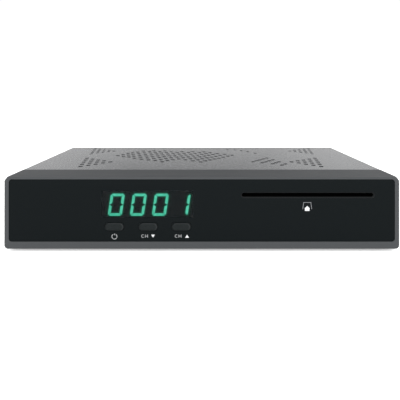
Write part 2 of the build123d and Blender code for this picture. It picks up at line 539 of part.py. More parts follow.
hd = slab_y(Pos(HDMI_X, HDMI_Z) * trapezoid(15.0, 6.2, 1.6, 1.9), PANEL_Y0 - 10.0, PANEL_Y1 + 0.9)
hd = hd - slab_y(Pos(HDMI_X, HDMI_Z) * trapezoid(14.2, 5.4, 1.5, 1.8), PANEL_Y1 - 7.5, PANEL_Y1 + 2)
hd = hd + block(HDMI_X - 5.6, HDMI_X + 5.6, PANEL_Y1 - 8, PANEL_Y1 - 0.3, HDMI_Z + 0.1, HDMI_Z + 1.3)
nodes["hdmi_socket"] = hd

# USB A receptacle
us = slab_y(Pos(USB_X, USB_Z) * RectangleRounded(13.4, 7.1, 0.7), PANEL_Y0 - 13.0, PANEL_Y1 + 0.9)
us = us - slab_y(Pos(USB_X, USB_Z) * RectangleRounded(12.6, 6.3, 0.4), PANEL_Y1 - 9.0, PANEL_Y1 + 2)
us = us + block(USB_X - 5.6, USB_X + 5.6, PANEL_Y1 - 9.5, PANEL_Y1 - 0.8, USB_Z + 0.5, USB_Z + 2.2)
nodes["usb_socket"] = us

# coaxial digital audio socket
sp = block(SPDIF_X - 5.0, SPDIF_X + 5.0, PANEL_Y0 - 10.5, PANEL_Y0 - 0.1, BOARD_Z1, BOARD_Z1 + 13.0)
sp = sp + rod_y(SPDIF_X, SPDIF_Z, PANEL_Y0 - 0.6, PANEL_Y1 + 0.3, 4.5)
sp = sp + rod_y(SPDIF_X, SPDIF_Z, PANEL_Y0 - 0.6, PANEL_Y1 + 8.6, 4.15)
sp = chamfer(sp.faces().sort_by(Axis.Y)[-1].edges(), 0.3)
sp = sp - rod_y(SPDIF_X, SPDIF_Z, PANEL_Y1 + 7.8, PANEL_Y1 + 10, 3.5)
sp = sp - rod_y(SPDIF_X, SPDIF_Z, PANEL_Y1 - 1.0, PANEL_Y1 + 10, 1.65)
nodes["spdif_socket"] = sp


# 21-way audio-video sockets
def scart(x):
    y1 = PANEL_Y1 + 0.9
    s = slab_y(Pos(x, SCART_Z) * RectangleRounded(SCART_W, SCART_H, 0.6), PANEL_Y0 - 17.0, y1)

    def dee(grow):
        w, h = 23.0 + grow, 6.0 + grow
        return Polygon((-w, -h), (w, -h), (w, h - 5.5), (w - 4.2, h), (-w, h), align=None)

    ring = slab_y(Pos(x, SCART_Z) * dee(0.6), y1 - 8.5, y1 + 1) - slab_y(Pos(x, SCART_Z) * dee(-1.5), y1 - 9.5, y1 - 0.6)
    s = s - ring
    slots = []
    for i in range(10):
        for j in (-1, 1):
            cx = x - 18.4 + i * 3.81 + (0.0 if j < 0 else 1.9)
            slots.append(block(cx - 0.55, cx + 0.55, y1 - 6.5, y1 + 1, SCART_Z + j * 2.35 - 1.5, SCART_Z + j * 2.35 + 1.5))
    return cut(s, slots)


nodes["scart_tv_socket"] = scart(SCART_TV_X)
nodes["scart_vcr_socket"] = scart(SCART_VCR_X)

# direct-current inlet, 5.5 mm with a 2.1 mm pin
dc = block(DC_X - 4.5, DC_X + 4.5, PANEL_Y0 - 13.0, PANEL_Y1 + 0.9, BOARD_Z1, BOARD_Z1 + 11.2)
dc = fillet(dc.edges().filter_by(Axis.Y).sort_by(Axis.Z)[-2:], 0.8)
DC_HOLE_Z = BOARD_Z1 + 6.4
dc = dc - rod_y(DC_X, DC_HOLE_Z, PANEL_Y1 - 8.5, PANEL_Y1 + 2, 3.1)
dc = dc + rod_y(DC_X, DC_HOLE_Z, PANEL_Y1 - 9.0, PANEL_Y1 + 0.2, 1.0)
nodes["dc_power_jack"] = dc

# power rocker switch, soldered to the board, looking out of the rear panel
PIV_Y = PANEL_Y1 - 0.6
hs = slab_y(Pos(ROCKER_X, ROCKER_Z) * RectangleRounded(21.6, 15.2, 1.4), PANEL_Y1, PANEL_Y1 + 1.9)
hs = fillet(hs.faces().sort_by(Axis.Y)[-1].edges(), 0.6)
hs = hs + slab_y(Pos(ROCKER_X, ROCKER_Z) * RectangleRounded(18.8, 12.8, 0.5), PANEL_Y0 - 13.0, PANEL_Y1 + 0.5)
hs = hs - slab_y(Pos(ROCKER_X, ROCKER_Z) * RectangleRounded(17.4, 10.9, 0.3), PANEL_Y1 - 9.6, PANEL_Y1 + 4)
hs = hs - rod_z(ROCKER_X, PIV_Y, ROCKER_Z - 6.15, ROCKER_Z + 6.15, 1.25)
# two solder legs down to the board
for dx in (-5.0, 5.0):
    hs = hs + block(ROCKER_X + dx - 1.5, ROCKER_X + dx + 1.5, PANEL_Y0 - 11.5, PANEL_Y0 - 10.7, BOARD_Z1, ROCKER_Z - 6.0)
nodes["power_switch_housing"] = hs
prof = Polygon((-9.0, -1.2), (9.0, -1.2), (9.0, 5.3), (0.0, 3.9), (-9.0, 5.3), align=None)
key = extrude(prof, 5.2, both=True) & Cylinder(8.45, 10.4)
key = fillet(key.edges().filter_by(Axis.Z).group_by(Axis.Y)[-1], 0.8)
key = key + Cylinder(1.2, 12.0)
KEY_REST = Pos(ROCKER_X, PIV_Y, ROCKER_Z) * Rot(0, 0, ROCKER_TILT)
nodes["power_switch_rocker"] = KEY_REST * key

# ---------------------------------------------------------------- components on the main board
CPU_X, CPU_Y = -22.0, 2.0
cpu = block(CPU_X - 13.5, CPU_X + 13.5, CPU_Y - 13.5, CPU_Y + 13.5, BOARD_Z1, BOARD_Z1 + 0.7)
cpu = cpu + block(CPU_X - 10, CPU_X + 10, CPU_Y - 10, CPU_Y + 10, BOARD_Z1 + 0.7, BOARD_Z1 + 1.9)
nodes["main_processor"] = cpu
hk = block(CPU_X - 17, CPU_X + 17, CPU_Y - 17, CPU_Y + 17, BOARD_Z1 + 1.9, BOARD_Z1 + 4.1)
for i in range(8):
    x = CPU_X - 15.75 + i * 4.5
    hk = hk + block(x - 0.6, x + 0.6, CPU_Y - 17, CPU_Y + 17, BOARD_Z1 + 4.0, BOARD_Z1 + 14.5)
nodes["heatsink"] = hk
nodes["memory_chips"] = group([
    block(6, 17, -12, -2, BOARD_Z1, BOARD_Z1 + 1.1), block(6, 17, 4, 14, BOARD_Z1, BOARD_Z1 + 1.1)])
ics = [(38, -20, 14, 9), (60, 10, 9, 9), (94, 20, 7, 7), (-70, 40, 6, 5), (-92, 28, 5, 4), (-60, -24, 10, 10), (30, 40, 7, 5),
       (-30, 44, 7, 5), (72, 40, 6, 5), (-46, 38, 10, 6)]
nodes["small_ics"] = group([block(x - w / 2, x + w / 2, y - d / 2, y + d / 2, BOARD_Z1, BOARD_Z1 + 1.5) for x, y, w, d in ics])
caps = [(-108, 8, 5.0, 16.0), (-108, 22, 5.0, 16.0), (-95, 12, 4.0, 11.5), (-82, 46, 4.0, 11.5), (-72, 22, 3.15, 11.0),
        (78, 30, 4.0, 11.5), (106, 30, 3.15, 11.0), (56, 30, 3.15, 9.0), (-54, 16, 3.15, 9.0), (-60, 50, 2.5, 8.0),
        (4, 50, 2.5, 8.0), (40, 50, 2.5, 8.0), (30, -2, 3.15, 9.0)]
ce = []
for x, y, r, h in caps:
    c = rod_z(x, y, BOARD_Z1, BOARD_Z1 + h, r)
    c = fillet(c.edges().sort_by(Axis.Z)[-1], 0.4)
    c = c - (rod_z(x, y, BOARD_Z1 + 1.2, BOARD_Z1 + 1.9, r + 1) - rod_z(x, y, BOARD_Z1 + 1.0, BOARD_Z1 + 2.1, r - 0.3))
    ce.append(c)
nodes["electrolytic_capacitors"] = group(ce)
inds = [(-95, 38, 8.0, 4.5), (-82, 30, 8.0, 4.5), (-70, 6, 6.0, 3.0), (88, 30, 8.0, 4.5), (46, 18, 5.0, 2.5)]
ci = []
for x, y, w, h in inds:
    s = block(x - w / 2, x + w / 2, y - w / 2, y + w / 2, BOARD_Z1, BOARD_Z1 + h)
    s = chamfer(s.edges().filter_by(Axis.Z), w * 0.18)
    ci.append(s)
nodes["power_inductors"] = group(ci)
xt = []
for x, y in ((-46.0, -10.0), (66.0, -8.0)):
    s = slab_z(Pos(x, y) * SlotOverall(11.0, 4.6), BOARD_Z1, BOARD_Z1 + 0.5)
    s = s + slab_z(Pos(x, y) * SlotOverall(10.2, 3.8), BOARD_Z1 + 0.4, BOARD_Z1 + 3.6)
    xt.append(s)
nodes["crystals"] = group(xt)
chips = []
for i in range(9):
    chips.append((-44.0 + i * 5.0, 24.0, 2.0, 1.25))
    chips.append((-44.0 + i * 5.0, -21.0, 1.25, 2.0))
for i in range(6):
    chips.append((22.0 + i * 4.0, 26.0, 1.25, 2.0))
    chips.append((84.0 + i * 4.0, 8.0, 2.0, 1.25))
    chips.append((-104.0 + i * 4.0, -8.0, 1.25, 2.0))
nodes["chip_components"] = group([
    block(x - w / 2, x + w / 2, y - d / 2, y + d / 2, BOARD_Z1, BOARD_Z1 + 0.6) for x, y, w, d in chips])

# ---------------------------------------------------------------- ribbons and their headers
# front ribbon: back from the front board, over the chassis flange, down to the main board
RBX = -60.0
RB_Z, RB_T, RB_W = 23.0, 0.8, 15.0
r_mid = 4.0
HEAD_Y = -38.5
bend_y = HEAD_Y - r_mid
ribbon = block(RBX - RB_W / 2, RBX + RB_W / 2, FBY1 + 3.2, bend_y, RB_Z - RB_T / 2, RB_Z + RB_T / 2)
quarter = rod_x(bend_y, RB_Z - r_mid, RBX - RB_W / 2, RBX + RB_W / 2, r_mid + RB_T / 2)
quarter = quarter - rod_x(bend_y, RB_Z - r_mid, RBX - RB_W, RBX + RB_W, r_mid - RB_T / 2)
quarter = quarter & block(RBX - 20, RBX + 20, bend_y, bend_y + 10, RB_Z - r_mid, RB_Z + 10)
ribbon = ribbon + quarter + block(RBX - RB_W / 2, RBX + RB_W / 2, HEAD_Y - RB_T / 2, HEAD_Y + RB_T / 2,
                                  BOARD_Z1 + 5.0, RB_Z - r_mid)
nodes["front_ribbon_cable"] = ribbon
RDX, RDY = 70.0, -32.0
heads = [
    block(RBX - 8.5, RBX + 8.5, FBY1, FBY1 + 3.2, RB_Z - 3.5, RB_Z + 3.5),
    block(RBX - 8.5, RBX + 8.5, HEAD_Y - 2.6, HEAD_Y + 2.6, BOARD_Z1, BOARD_Z1 + 5.0),
    block(RDX - 10.5, RDX + 10.5, RDY - 2.6, RDY + 2.6, BOARD_Z1, BOARD_Z1 + 5.0),
    block(RDX - 10.5, RDX + 10.5, RDY - 2.6, RDY + 2.6, rdz0 - 5.0, rdz0),
]
nodes["ribbon_headers"] = group(heads)
nodes["card_reader_ribbon"] = block(RDX - 9, RDX + 9, RDY - 0.4, RDY + 0.4, BOARD_Z1 + 5.0, rdz0 - 5.0)

# ---------------------------------------------------------------- write the files
os.makedirs("parts", exist_ok=True)
for name, shape in nodes.items():
    export_step(shape, os.path.join("parts", name + ".step"))
print(len(nodes), "nodes written")
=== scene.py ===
import math
import random

import bmesh
import bpy
import numpy as np
from mathutils import Matrix, Vector


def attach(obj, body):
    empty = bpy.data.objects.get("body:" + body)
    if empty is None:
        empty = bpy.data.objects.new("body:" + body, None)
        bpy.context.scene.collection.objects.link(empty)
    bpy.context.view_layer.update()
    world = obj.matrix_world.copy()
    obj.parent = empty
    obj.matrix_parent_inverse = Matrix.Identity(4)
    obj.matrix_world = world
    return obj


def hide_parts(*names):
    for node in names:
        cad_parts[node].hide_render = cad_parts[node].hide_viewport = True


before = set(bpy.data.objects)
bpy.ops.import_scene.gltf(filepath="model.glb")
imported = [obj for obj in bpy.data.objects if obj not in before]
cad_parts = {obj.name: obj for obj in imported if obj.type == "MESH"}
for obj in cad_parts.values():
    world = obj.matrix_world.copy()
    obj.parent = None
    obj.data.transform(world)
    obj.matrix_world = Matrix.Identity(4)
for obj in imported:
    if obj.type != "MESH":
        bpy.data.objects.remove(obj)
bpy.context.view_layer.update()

MM = 0.001

# ---------------------------------------------------------------- places, in millimetres
FACE_Y = -86.7                       # fascia front
BEZEL_Y = -87.0
MODULE_Y = -84.4                     # display module front
DIGIT_X = (-56.65, -42.05, -27.45, -13.0)
DIGIT_Z = 30.75
DIGIT_W, DIGIT_H, SEG_T, SLANT = 9.3, 14.75, 1.75, 8.5
WINDOW = (-80.0, -2.5, 20.9, 42.6)    # smoked filter in the fascia: x0, x1, z0, z1
PANEL_Y1 = 77.3
PANEL_Y0 = 76.5
BOARD_Z1 = 11.1
LNB_Z = 22.5
HDMI = (70.0, 14.3)
USB = (49.5, 14.7)
SPDIF = (33.0, 18.1)
SCART_Z = 19.4
DC = (-94.0, 17.5)
ROCKER = (-114.0, 76.7, 20.5)


# ---------------------------------------------------------------- material graphs
class Mat:
    """A node material that ends in one Principled shader."""

    def __init__(self, name, base=(0.5, 0.5, 0.5), rough=0.5, metal=0.0, spec=0.5):
        self.mat = bpy.data.materials.new(name)
        self.mat.use_nodes = True
        self.nt = self.mat.node_tree
        self.nt.nodes.clear()
        out = self.nt.nodes.new("ShaderNodeOutputMaterial")
        self.p = self.nt.nodes.new("ShaderNodeBsdfPrincipled")
        self.nt.links.new(self.p.outputs[0], out.inputs[0])
        self.out = out
        self.tc = self.nt.nodes.new("ShaderNodeTexCoord")
        self.co = self.tc.outputs["Object"]
        self.set("Base Color", (*base, 1.0))
        self.set("Roughness", rough)
        self.set("Metallic", metal)
        self.set("Specular IOR Level", spec)
        self._normal = None

    def set(self, name, value):
        sock = self.p.inputs[name]
        if isinstance(value, bpy.types.NodeSocket):
            self.nt.links.new(value, sock)
        else:
            sock.default_value = value
        return self

    def node(self, kind, ins=None, **props):
        n = self.nt.nodes.new(kind)
        for k, v in props.items():
            setattr(n, k, v)
        for k, v in (ins or {}).items():
            self.put(n.inputs[k], v)
        return n

    def put(self, sock, v):
        if isinstance(v, bpy.types.NodeSocket):
            self.nt.links.new(v, sock)
        elif isinstance(v, tuple) and len(v) == 3 and len(sock.default_value) == 4:
            sock.default_value = (*v, 1.0)
        else:
            sock.default_value = v

    def mapped(self, scale=(1, 1, 1), rot=(0, 0, 0), loc=(0, 0, 0), co=None):
        n = self.node("ShaderNodeMapping", {"Vector": co or self.co, "Scale": scale, "Rotation": rot, "Location": loc})
        return n.outputs[0]

    def noise(self, scale, detail=2.0, rough=0.5, stretch=None, out="Fac"):
        co = self.mapped(stretch) if stretch else self.co
        n = self.node("ShaderNodeTexNoise", {"Vector": co, "Scale": scale, "Detail": detail, "Roughness": rough})
        return n.outputs[out]

    def cells(self, scale, feature="F1", out="Distance", stretch=None, jitter=1.0):
        co = self.mapped(stretch) if stretch else self.co
        n = self.node("ShaderNodeTexVoronoi", {"Vector": co, "Scale": scale, "Randomness": jitter}, feature=feature)
        return n.outputs[out]

    def wave(self, scale, axis="X", profile="SIN", distortion=0.0, kind="BANDS"):
        props = {"wave_type": kind, "wave_profile": profile}
        if kind == "BANDS":
            props["bands_direction"] = axis
        else:
            props["rings_direction"] = axis
        n = self.node("ShaderNodeTexWave", {"Vector": self.co, "Scale": scale, "Distortion": distortion}, **props)
        return n.outputs["Fac"]

    def remap(self, v, a, b, c, d, smooth=False):
        n = self.node("ShaderNodeMapRange", {"Value": v, "From Min": a, "From Max": b, "To Min": c, "To Max": d},
                      interpolation_type="SMOOTHSTEP" if smooth else "LINEAR", clamp=True)
        return n.outputs[0]

    def math(self, op, a, b=0.0, c=None, clamp=False):
        n = self.node("ShaderNodeMath", operation=op, use_clamp=clamp)
        self.put(n.inputs[0], a)
        self.put(n.inputs[1], b)
        if c is not None:
            self.put(n.inputs[2], c)
        return n.outputs[0]

    def mix(self, fac, a, b, blend="MIX"):
        n = self.node("ShaderNodeMix", data_type="RGBA", blend_type=blend)
        self.put(n.inputs[0], fac)
        self.put(n.inputs[6], a)
        self.put(n.inputs[7], b)
        return n.outputs[2]

    def axis(self, which, co=None):
        n = self.node("ShaderNodeSeparateXYZ", {"Vector": co or self.co})
        return n.outputs[which]

    def bump(self, height, strength, dist_mm):
        n = self.node("ShaderNodeBump", {"Height": height, "Strength": strength, "Distance": dist_mm * MM})
        if self._normal is not None:
            self.nt.links.new(self._normal, n.inputs["Normal"])
        self._normal = n.outputs[0]
        self.set("Normal", self._normal)
        return self

    def soft_edges(self, radius_mm, samples=4):
        """Rounds the shading of sharp edges, the way a moulded or plated edge is never quite sharp."""
        n = self.node("ShaderNodeBevel", {"Radius": radius_mm * MM}, samples=samples)
        if self._normal is not None:
            self.nt.links.new(self._normal, n.inputs["Normal"])
        self._normal = n.outputs[0]
        self.set("Normal", self._normal)
        return self

    def edge_mask(self, radius_mm, gain=2.0):
        """1 on outer and inner edges, 0 on flats."""
        b = self.node("ShaderNodeBevel", {"Radius": radius_mm * MM}, samples=4)
        g = self.node("ShaderNodeNewGeometry")
        d = self.node("ShaderNodeVectorMath", {0: b.outputs[0], 1: g.outputs["Normal"]}, operation="DOT_PRODUCT")
        return self.math("MULTIPLY", self.math("SUBTRACT", 1.0, d.outputs["Value"]), gain, clamp=True)

    def crevice(self, dist_mm, lo=0.35, hi=0.95):
        """1 in corners and gaps, 0 in the open."""
        n = self.node("ShaderNodeAmbientOcclusion", {"Distance": dist_mm * MM}, samples=4)
        return self.remap(n.outputs["AO"], lo, hi, 1.0, 0.0)


def shade(c, k):
    return tuple(max(0.0, v * k) for v in c)


def moulded(name, base, rough=0.55, spec=0.3, grain_mm=0.35, depth=0.012, strength=0.35, vary=0.07, edge=0.12, wear=0.0):
    """Injection-moulded plastic with an eroded texture, cloudy tone and slightly shinier edges."""
    m = Mat(name, base, rough, 0.0, spec)
    cloud = m.noise(28.0, 3.0, 0.55)
    fine = m.noise(1000.0 / grain_mm, 3.0, 0.6)
    col = m.mix(m.remap(cloud, 0.35, 0.65, 0.0, 1.0), shade(base, 1 - vary), shade(base, 1 + vary))
    col = m.mix(m.remap(fine, 0.3, 0.7, 0.0, 0.22), col, shade(base, 0.62))
    if wear:
        col = m.mix(m.math("MULTIPLY", m.edge_mask(0.35), wear), col, shade(base, 1.7))
    m.set("Base Color", col)
    m.set("Roughness", m.remap(m.math("ADD", m.math("MULTIPLY", fine, 0.5), m.math("MULTIPLY", cloud, 0.5)),
                               0.3, 0.7, rough - 0.06, rough + 0.06))
    if edge:
        m.soft_edges(edge)
    m.bump(fine, strength, depth)
    return m


def coated(name, base, rough=0.42, spec=0.5, peel_mm=0.9, depth=0.02, strength=0.25, vary=0.05, edge=0.15):
    """Sheet steel under a powder coat: orange peel over a fine speckle."""
    m = Mat(name, base, rough, 0.0, spec)
    cloud = m.noise(9.0, 3.0, 0.55)
    peel = m.noise(1000.0 / peel_mm, 2.0, 0.5)
    speck = m.cells(2600.0)
    col = m.mix(m.remap(cloud, 0.35, 0.65, 0.0, 1.0), shade(base, 1 - vary), shade(base, 1 + vary))
    col = m.mix(m.remap(speck, 0.05, 0.4, 0.28, 0.0), col, shade(base, 1.45))
    m.set("Base Color", col)
    m.set("Roughness", m.remap(peel, 0.3, 0.7, rough - 0.05, rough + 0.07))
    if edge:
        m.soft_edges(edge)
    m.bump(peel, strength, depth)
    return m


def plated(name, base, rough=0.25, brush=None, grain=0.06, edge=0.08, tarnish=None):
    """Bright plated metal, with brushing along one axis and a cloudy tarnish."""
    m = Mat(name, base, rough, 1.0, 0.5)
    cloud = m.noise(120.0, 4.0, 0.6)
    line = m.noise(2400.0, 3.0, 0.6, stretch=brush) if brush else m.noise(1800.0, 3.0, 0.6)
    col = m.mix(m.remap(cloud, 0.4, 0.7, 0.0, 0.55), base, tarnish or shade(base, 0.72))
    m.set("Base Color", col)
    m.set("Roughness", m.math("ADD", m.remap(line, 0.3, 0.7, rough - grain, rough + grain),
                              m.remap(cloud, 0.4, 0.7, 0.0, 0.1)))
    if edge:
        m.soft_edges(edge)
    m.bump(line, 0.12, 0.004)
    return m


# front
bezel = moulded("bezel_plastic", (0.0255, 0.0276, 0.0298), rough=0.60, spec=0.29, grain_mm=0.42, depth=0.02, strength=0.4,
                vary=0.035, edge=0.0)

gloss = Mat("fascia_gloss", (0.0014, 0.0026, 0.0030), 0.09, 0.0, 0.056)
peel = gloss.noise(70.0, 2.0, 0.5)
haze = gloss.noise(16.0, 4.0, 0.6)
gloss.set("Roughness", gloss.remap(haze, 0.35, 0.7, 0.07, 0.12))
gloss.set("Base Color", gloss.mix(gloss.remap(gloss.noise(900.0, 2.0), 0.45, 0.75, 0.0, 0.25), (0.0014, 0.0026, 0.0030),
                                  (0.0028, 0.0040, 0.0044)))
# the bevelled mouth of the card slot is matt, and painted a lighter grey than the polished face: a painted highlight
# for the light its lower bevel catches
gx, gy, gz = (gloss.axis(i) for i in range(3))


def within(m, v, lo, hi):
    return m.math("MULTIPLY", m.math("GREATER_THAN", v, lo * MM), m.math("LESS_THAN", v, hi * MM))


painted_bevel_highlight = gloss.math("MULTIPLY", gloss.math("MULTIPLY", within(gloss, gx, 25.0, 114.6), within(gloss, gz, 35.0, 40.0)),
                   gloss.math("GREATER_THAN", gy, (FACE_Y + 0.02) * MM))
gloss.set("Base Color", gloss.mix(painted_bevel_highlight, gloss.mix(gloss.remap(gloss.noise(900.0, 2.0), 0.45, 0.75, 0.0, 0.25), (0.0014, 0.0026, 0.0030),
                                                   (0.0028, 0.0040, 0.0044)), (0.0080, 0.0088, 0.0094)))
gloss.set("Roughness", gloss.math("MAXIMUM", gloss.remap(haze, 0.35, 0.7, 0.07, 0.12), gloss.math("MULTIPLY", painted_bevel_highlight, 0.45)))
gloss.bump(peel, 0.05, 0.02)

SEE = 0.51
smoke = Mat("window_smoke", (0.0030, 0.0054, 0.0062), 0.09, 0.0, 0.056 / 0.51)
smoke.set("Base Color", smoke.mix(smoke.remap(smoke.noise(900.0, 2.0), 0.45, 0.75, 0.0, 0.25), shade((0.0014, 0.0026, 0.0030), 1 / SEE),
                                  shade((0.0028, 0.0040, 0.0044), 1 / SEE)))
# see-through only over the display; round it the filter is printed as dark as the fascia
face_c, face_s = (0.0014, 0.0026, 0.0030), shade((0.0021, 0.0030, 0.0034), 1 / SEE)
wx, wz = smoke.axis(0), smoke.axis(2)
see = smoke.math("MULTIPLY", smoke.remap(wx, -66.3 * MM, -64.9 * MM, 0.0, 1.0, smooth=True), smoke.remap(wx, -6.6 * MM, -4.9 * MM, 1.0, 0.0, smooth=True))
see = smoke.math("MULTIPLY", see, smoke.remap(wz, 22.7 * MM, 23.9 * MM, 0.0, 1.0, smooth=True))
see = smoke.math("MULTIPLY", see, smoke.remap(wz, 39.7 * MM, 40.9 * MM, 1.0, 0.0, smooth=True))
opaque = smoke.math("ADD", smoke.math("MULTIPLY", see, SEE - 1.0), 1.0)
smoke.set("Alpha", opaque)
smoke.set("Specular IOR Level", smoke.math("DIVIDE", 0.056, opaque))
smoke.set("Base Color", smoke.mix(see, smoke.mix(smoke.remap(smoke.noise(900.0, 2.0), 0.45, 0.75, 0.0, 0.25), face_c, (0.0028, 0.0040, 0.0044)),
                                  smoke.mix(smoke.remap(smoke.noise(900.0, 2.0), 0.45, 0.75, 0.0, 0.25), face_s, shade((0.0034, 0.0043, 0.0047), 1 / SEE))))
smoke.set("Roughness", smoke.remap(smoke.noise(16.0, 4.0, 0.6), 0.35, 0.7, 0.07, 0.12))
smoke.bump(smoke.noise(70.0, 2.0, 0.5), 0.05, 0.02)

clear = Mat("window_clear", (0.002, 0.003, 0.003), 0.2, 0.0, 0.0)
clear.set("Alpha", 0.0)
clear.set("Base Color", clear.mix(clear.noise(400.0), (0.002, 0.003, 0.003), (0.003, 0.004, 0.004)))

back_print = Mat("back_print", (0.0006, 0.0007, 0.0007), 0.8, 0.0, 0.0)
back_print.set("Base Color", back_print.mix(back_print.noise(400.0), (0.0005, 0.0006, 0.0006), (0.0009, 0.0010, 0.0010)))

button = Mat("button_plastic", (0.0040, 0.0056, 0.0059), 0.30, 0.0, 0.095)
bg = button.noise(3200.0, 3.0, 0.6)
button.set("Roughness", button.remap(bg, 0.3, 0.7, 0.24, 0.34))
button.set("Base Color", button.mix(button.remap(button.noise(300.0, 3.0), 0.35, 0.7, 0.0, 1.0), (0.0041, 0.0058, 0.0061),
                                    (0.0048, 0.0067, 0.0070)))
# painted highlight: a lighter crescent on the right-end rim of each button stands in for the glint of the light from
# the right
ends = None
for cx_ in (-57.5, -35.3, -13.5):
    ex = button.math("SUBTRACT", button.axis(0), (cx_ + 3.65) * MM)
    ez = button.math("SUBTRACT", button.axis(2), 16.9 * MM)
    er = button.math("SQRT", button.math("ADD", button.math("MULTIPLY", ex, ex), button.math("MULTIPLY", ez, ez)))
    painted_glint_ring = button.math("MULTIPLY", button.remap(er, 1.35 * MM, 1.75 * MM, 0.0, 1.0, smooth=True), button.remap(er, 2.35 * MM, 2.6 * MM, 1.0, 0.0))
    painted_glint_ring = button.math("MULTIPLY", painted_glint_ring, button.remap(ex, 0.4 * MM, 1.3 * MM, 0.0, 1.0, smooth=True))
    ends = painted_glint_ring if ends is None else button.math("MAXIMUM", ends, painted_glint_ring)
button.set("Base Color", button.mix(ends, button.p.inputs["Base Color"].links[0].from_socket, (0.0108, 0.0128, 0.0131)))
button.bump(bg, 0.25, 0.006)

black = moulded("black_plastic", (0.012, 0.012, 0.0125), rough=0.48, spec=0.4, grain_mm=0.3, depth=0.01, vary=0.12)
module_face = moulded("module_black", (0.0016, 0.0018, 0.0018), rough=0.75, spec=0.05, grain_mm=0.25, depth=0.004, vary=0.1,
                      edge=0.0)

reader = moulded("reader_black", (0.0010, 0.0010, 0.0011), rough=0.7, spec=0.02, grain_mm=0.3, depth=0.01, vary=0.12)

lit = Mat("segment_lit", (0.03, 0.20, 0.13), 0.4, 0.0, 0.3)
core = lit.remap(lit.noise(620.0, 2.0, 0.6), 0.36, 0.66, 0.0, 1.0)
lit.set("Emission Color", lit.mix(core, (0.040, 0.70, 0.42), (0.135, 1.05, 0.69)))
lit.set("Emission Strength", 1.0)

unlit = Mat("segment_unlit", (0.0024, 0.0030, 0.0028), 0.5, 0.0, 0.1)
unlit.set("Base Color", unlit.mix(unlit.remap(unlit.noise(500.0), 0.3, 0.7, 0.0, 1.0), (0.0022, 0.0028, 0.0026),
                                  (0.0028, 0.0034, 0.0032)))

glow = Mat("diffuser_film", (0.0006, 0.0007, 0.0007), 0.8, 0.0, 0.0)
at = glow.node("ShaderNodeAttribute", attribute_name="glow")
glow.set("Emission Color", glow.mix(at.outputs["Fac"], (0.0, 0.0, 0.0), (0.003, 0.085, 0.046)))
glow.set("Emission Strength", 1.0)
for m_ in (lit, glow):
    m_.mat.cycles.emission_sampling = "NONE"

ink = Mat("white_ink", (0.62, 0.63, 0.64), 0.5, 0.0, 0.3)
inkn = ink.noise(2500.0, 3.0, 0.6)
ink.set("Base Color", ink.mix(ink.remap(inkn, 0.35, 0.75, 0.0, 1.0), (0.43, 0.435, 0.44), (0.36, 0.365, 0.37)))
ink.bump(inkn, 0.3, 0.004)

ink_soft = Mat("soft_white_ink", (0.46, 0.47, 0.475), 0.5, 0.0, 0.3)
ink_soft.set("Base Color", ink_soft.mix(ink_soft.remap(ink_soft.noise(2500.0, 3.0, 0.6), 0.35, 0.75, 0.0, 1.0), (0.31, 0.315, 0.32),
                                        (0.26, 0.265, 0.27)))

ink_grey = Mat("grey_ink", (0.20, 0.205, 0.21), 0.5, 0.0, 0.3)
ink_grey.set("Base Color", ink_grey.mix(ink_grey.remap(ink_grey.noise(2500.0, 3.0, 0.6), 0.35, 0.75, 0.0, 1.0),
                                        (0.155, 0.16, 0.165), (0.12, 0.125, 0.13)))

# case
cover = coated("cover_sheet", (0.0415, 0.0436, 0.0472), rough=0.22, spec=0.33, peel_mm=1.1, depth=0.02, strength=0.16, vary=0.03)
# the cut edges inside the punched slots are painted paler than the coat, a painted light that lifts the shade inside
# the vents
geo = cover.node("ShaderNodeNewGeometry")
up = cover.node("ShaderNodeSeparateXYZ", {"Vector": geo.outputs["True Normal"]})
cy_, cz_ = cover.axis(1), cover.axis(2)
inside = cover.math("MULTIPLY", cover.math("GREATER_THAN", cz_, 0.0482), cover.math("LESS_THAN", cover.math("ABSOLUTE", up.outputs[2]), 0.5))
inside = cover.math("MULTIPLY", inside, within(cover, cover.axis(0), -110.0, 110.0))
inside = cover.math("MULTIPLY", inside, within(cover, cy_, -50.0, 76.0))
link = cover.p.inputs["Base Color"].links[0].from_socket
cover.set("Base Color", cover.mix(inside, link, (0.061, 0.062, 0.065)))
base = coated("base_sheet", (0.135, 0.139, 0.142), rough=0.42, spec=0.45, peel_mm=1.1, depth=0.02, strength=0.2, vary=0.04)

rubber = Mat("foot_rubber", (0.018, 0.018, 0.018), 0.8, 0.0, 0.3)
rn = rubber.noise(1600.0, 4.0, 0.65)
dust = rubber.noise(220.0, 4.0, 0.6)
rubber.set("Base Color", rubber.mix(rubber.remap(dust, 0.5, 0.8, 0.0, 0.35), (0.016, 0.016, 0.0165), (0.06, 0.058, 0.055)))
rubber.set("Roughness", rubber.remap(rn, 0.3, 0.7, 0.72, 0.9))
rubber.soft_edges(0.2).bump(rn, 0.5, 0.02)

# metals
zinc = plated("zinc_screw", (0.62, 0.62, 0.60), 0.3, grain=0.08, tarnish=(0.50, 0.47, 0.38))
black_oxide = plated("black_screw", (0.055, 0.055, 0.057), 0.38, grain=0.08, tarnish=(0.03, 0.03, 0.032))
nickel = plated("nickel_plate", (0.70, 0.68, 0.63), 0.2, brush=(1.0, 0.15, 1.0), tarnish=(0.56, 0.53, 0.46))
steel = plated("plated_steel", (0.66, 0.66, 0.64), 0.28, brush=(1.0, 0.08, 1.0), tarnish=(0.5, 0.5, 0.47))
tin = plated("tinned_sheet", (0.70, 0.70, 0.68), 0.32, brush=(0.1, 1.0, 1.0), tarnish=(0.55, 0.54, 0.50))
gold = plated("gold_contact", (0.92, 0.66, 0.24), 0.2, tarnish=(0.74, 0.5, 0.2))
brass = plated("brass_part", (0.76, 0.57, 0.25), 0.26, tarnish=(0.5, 0.36, 0.16))
copper_tin = plated("board_pad", (0.68, 0.67, 0.62), 0.35, edge=0.0, tarnish=(0.52, 0.5, 0.44))

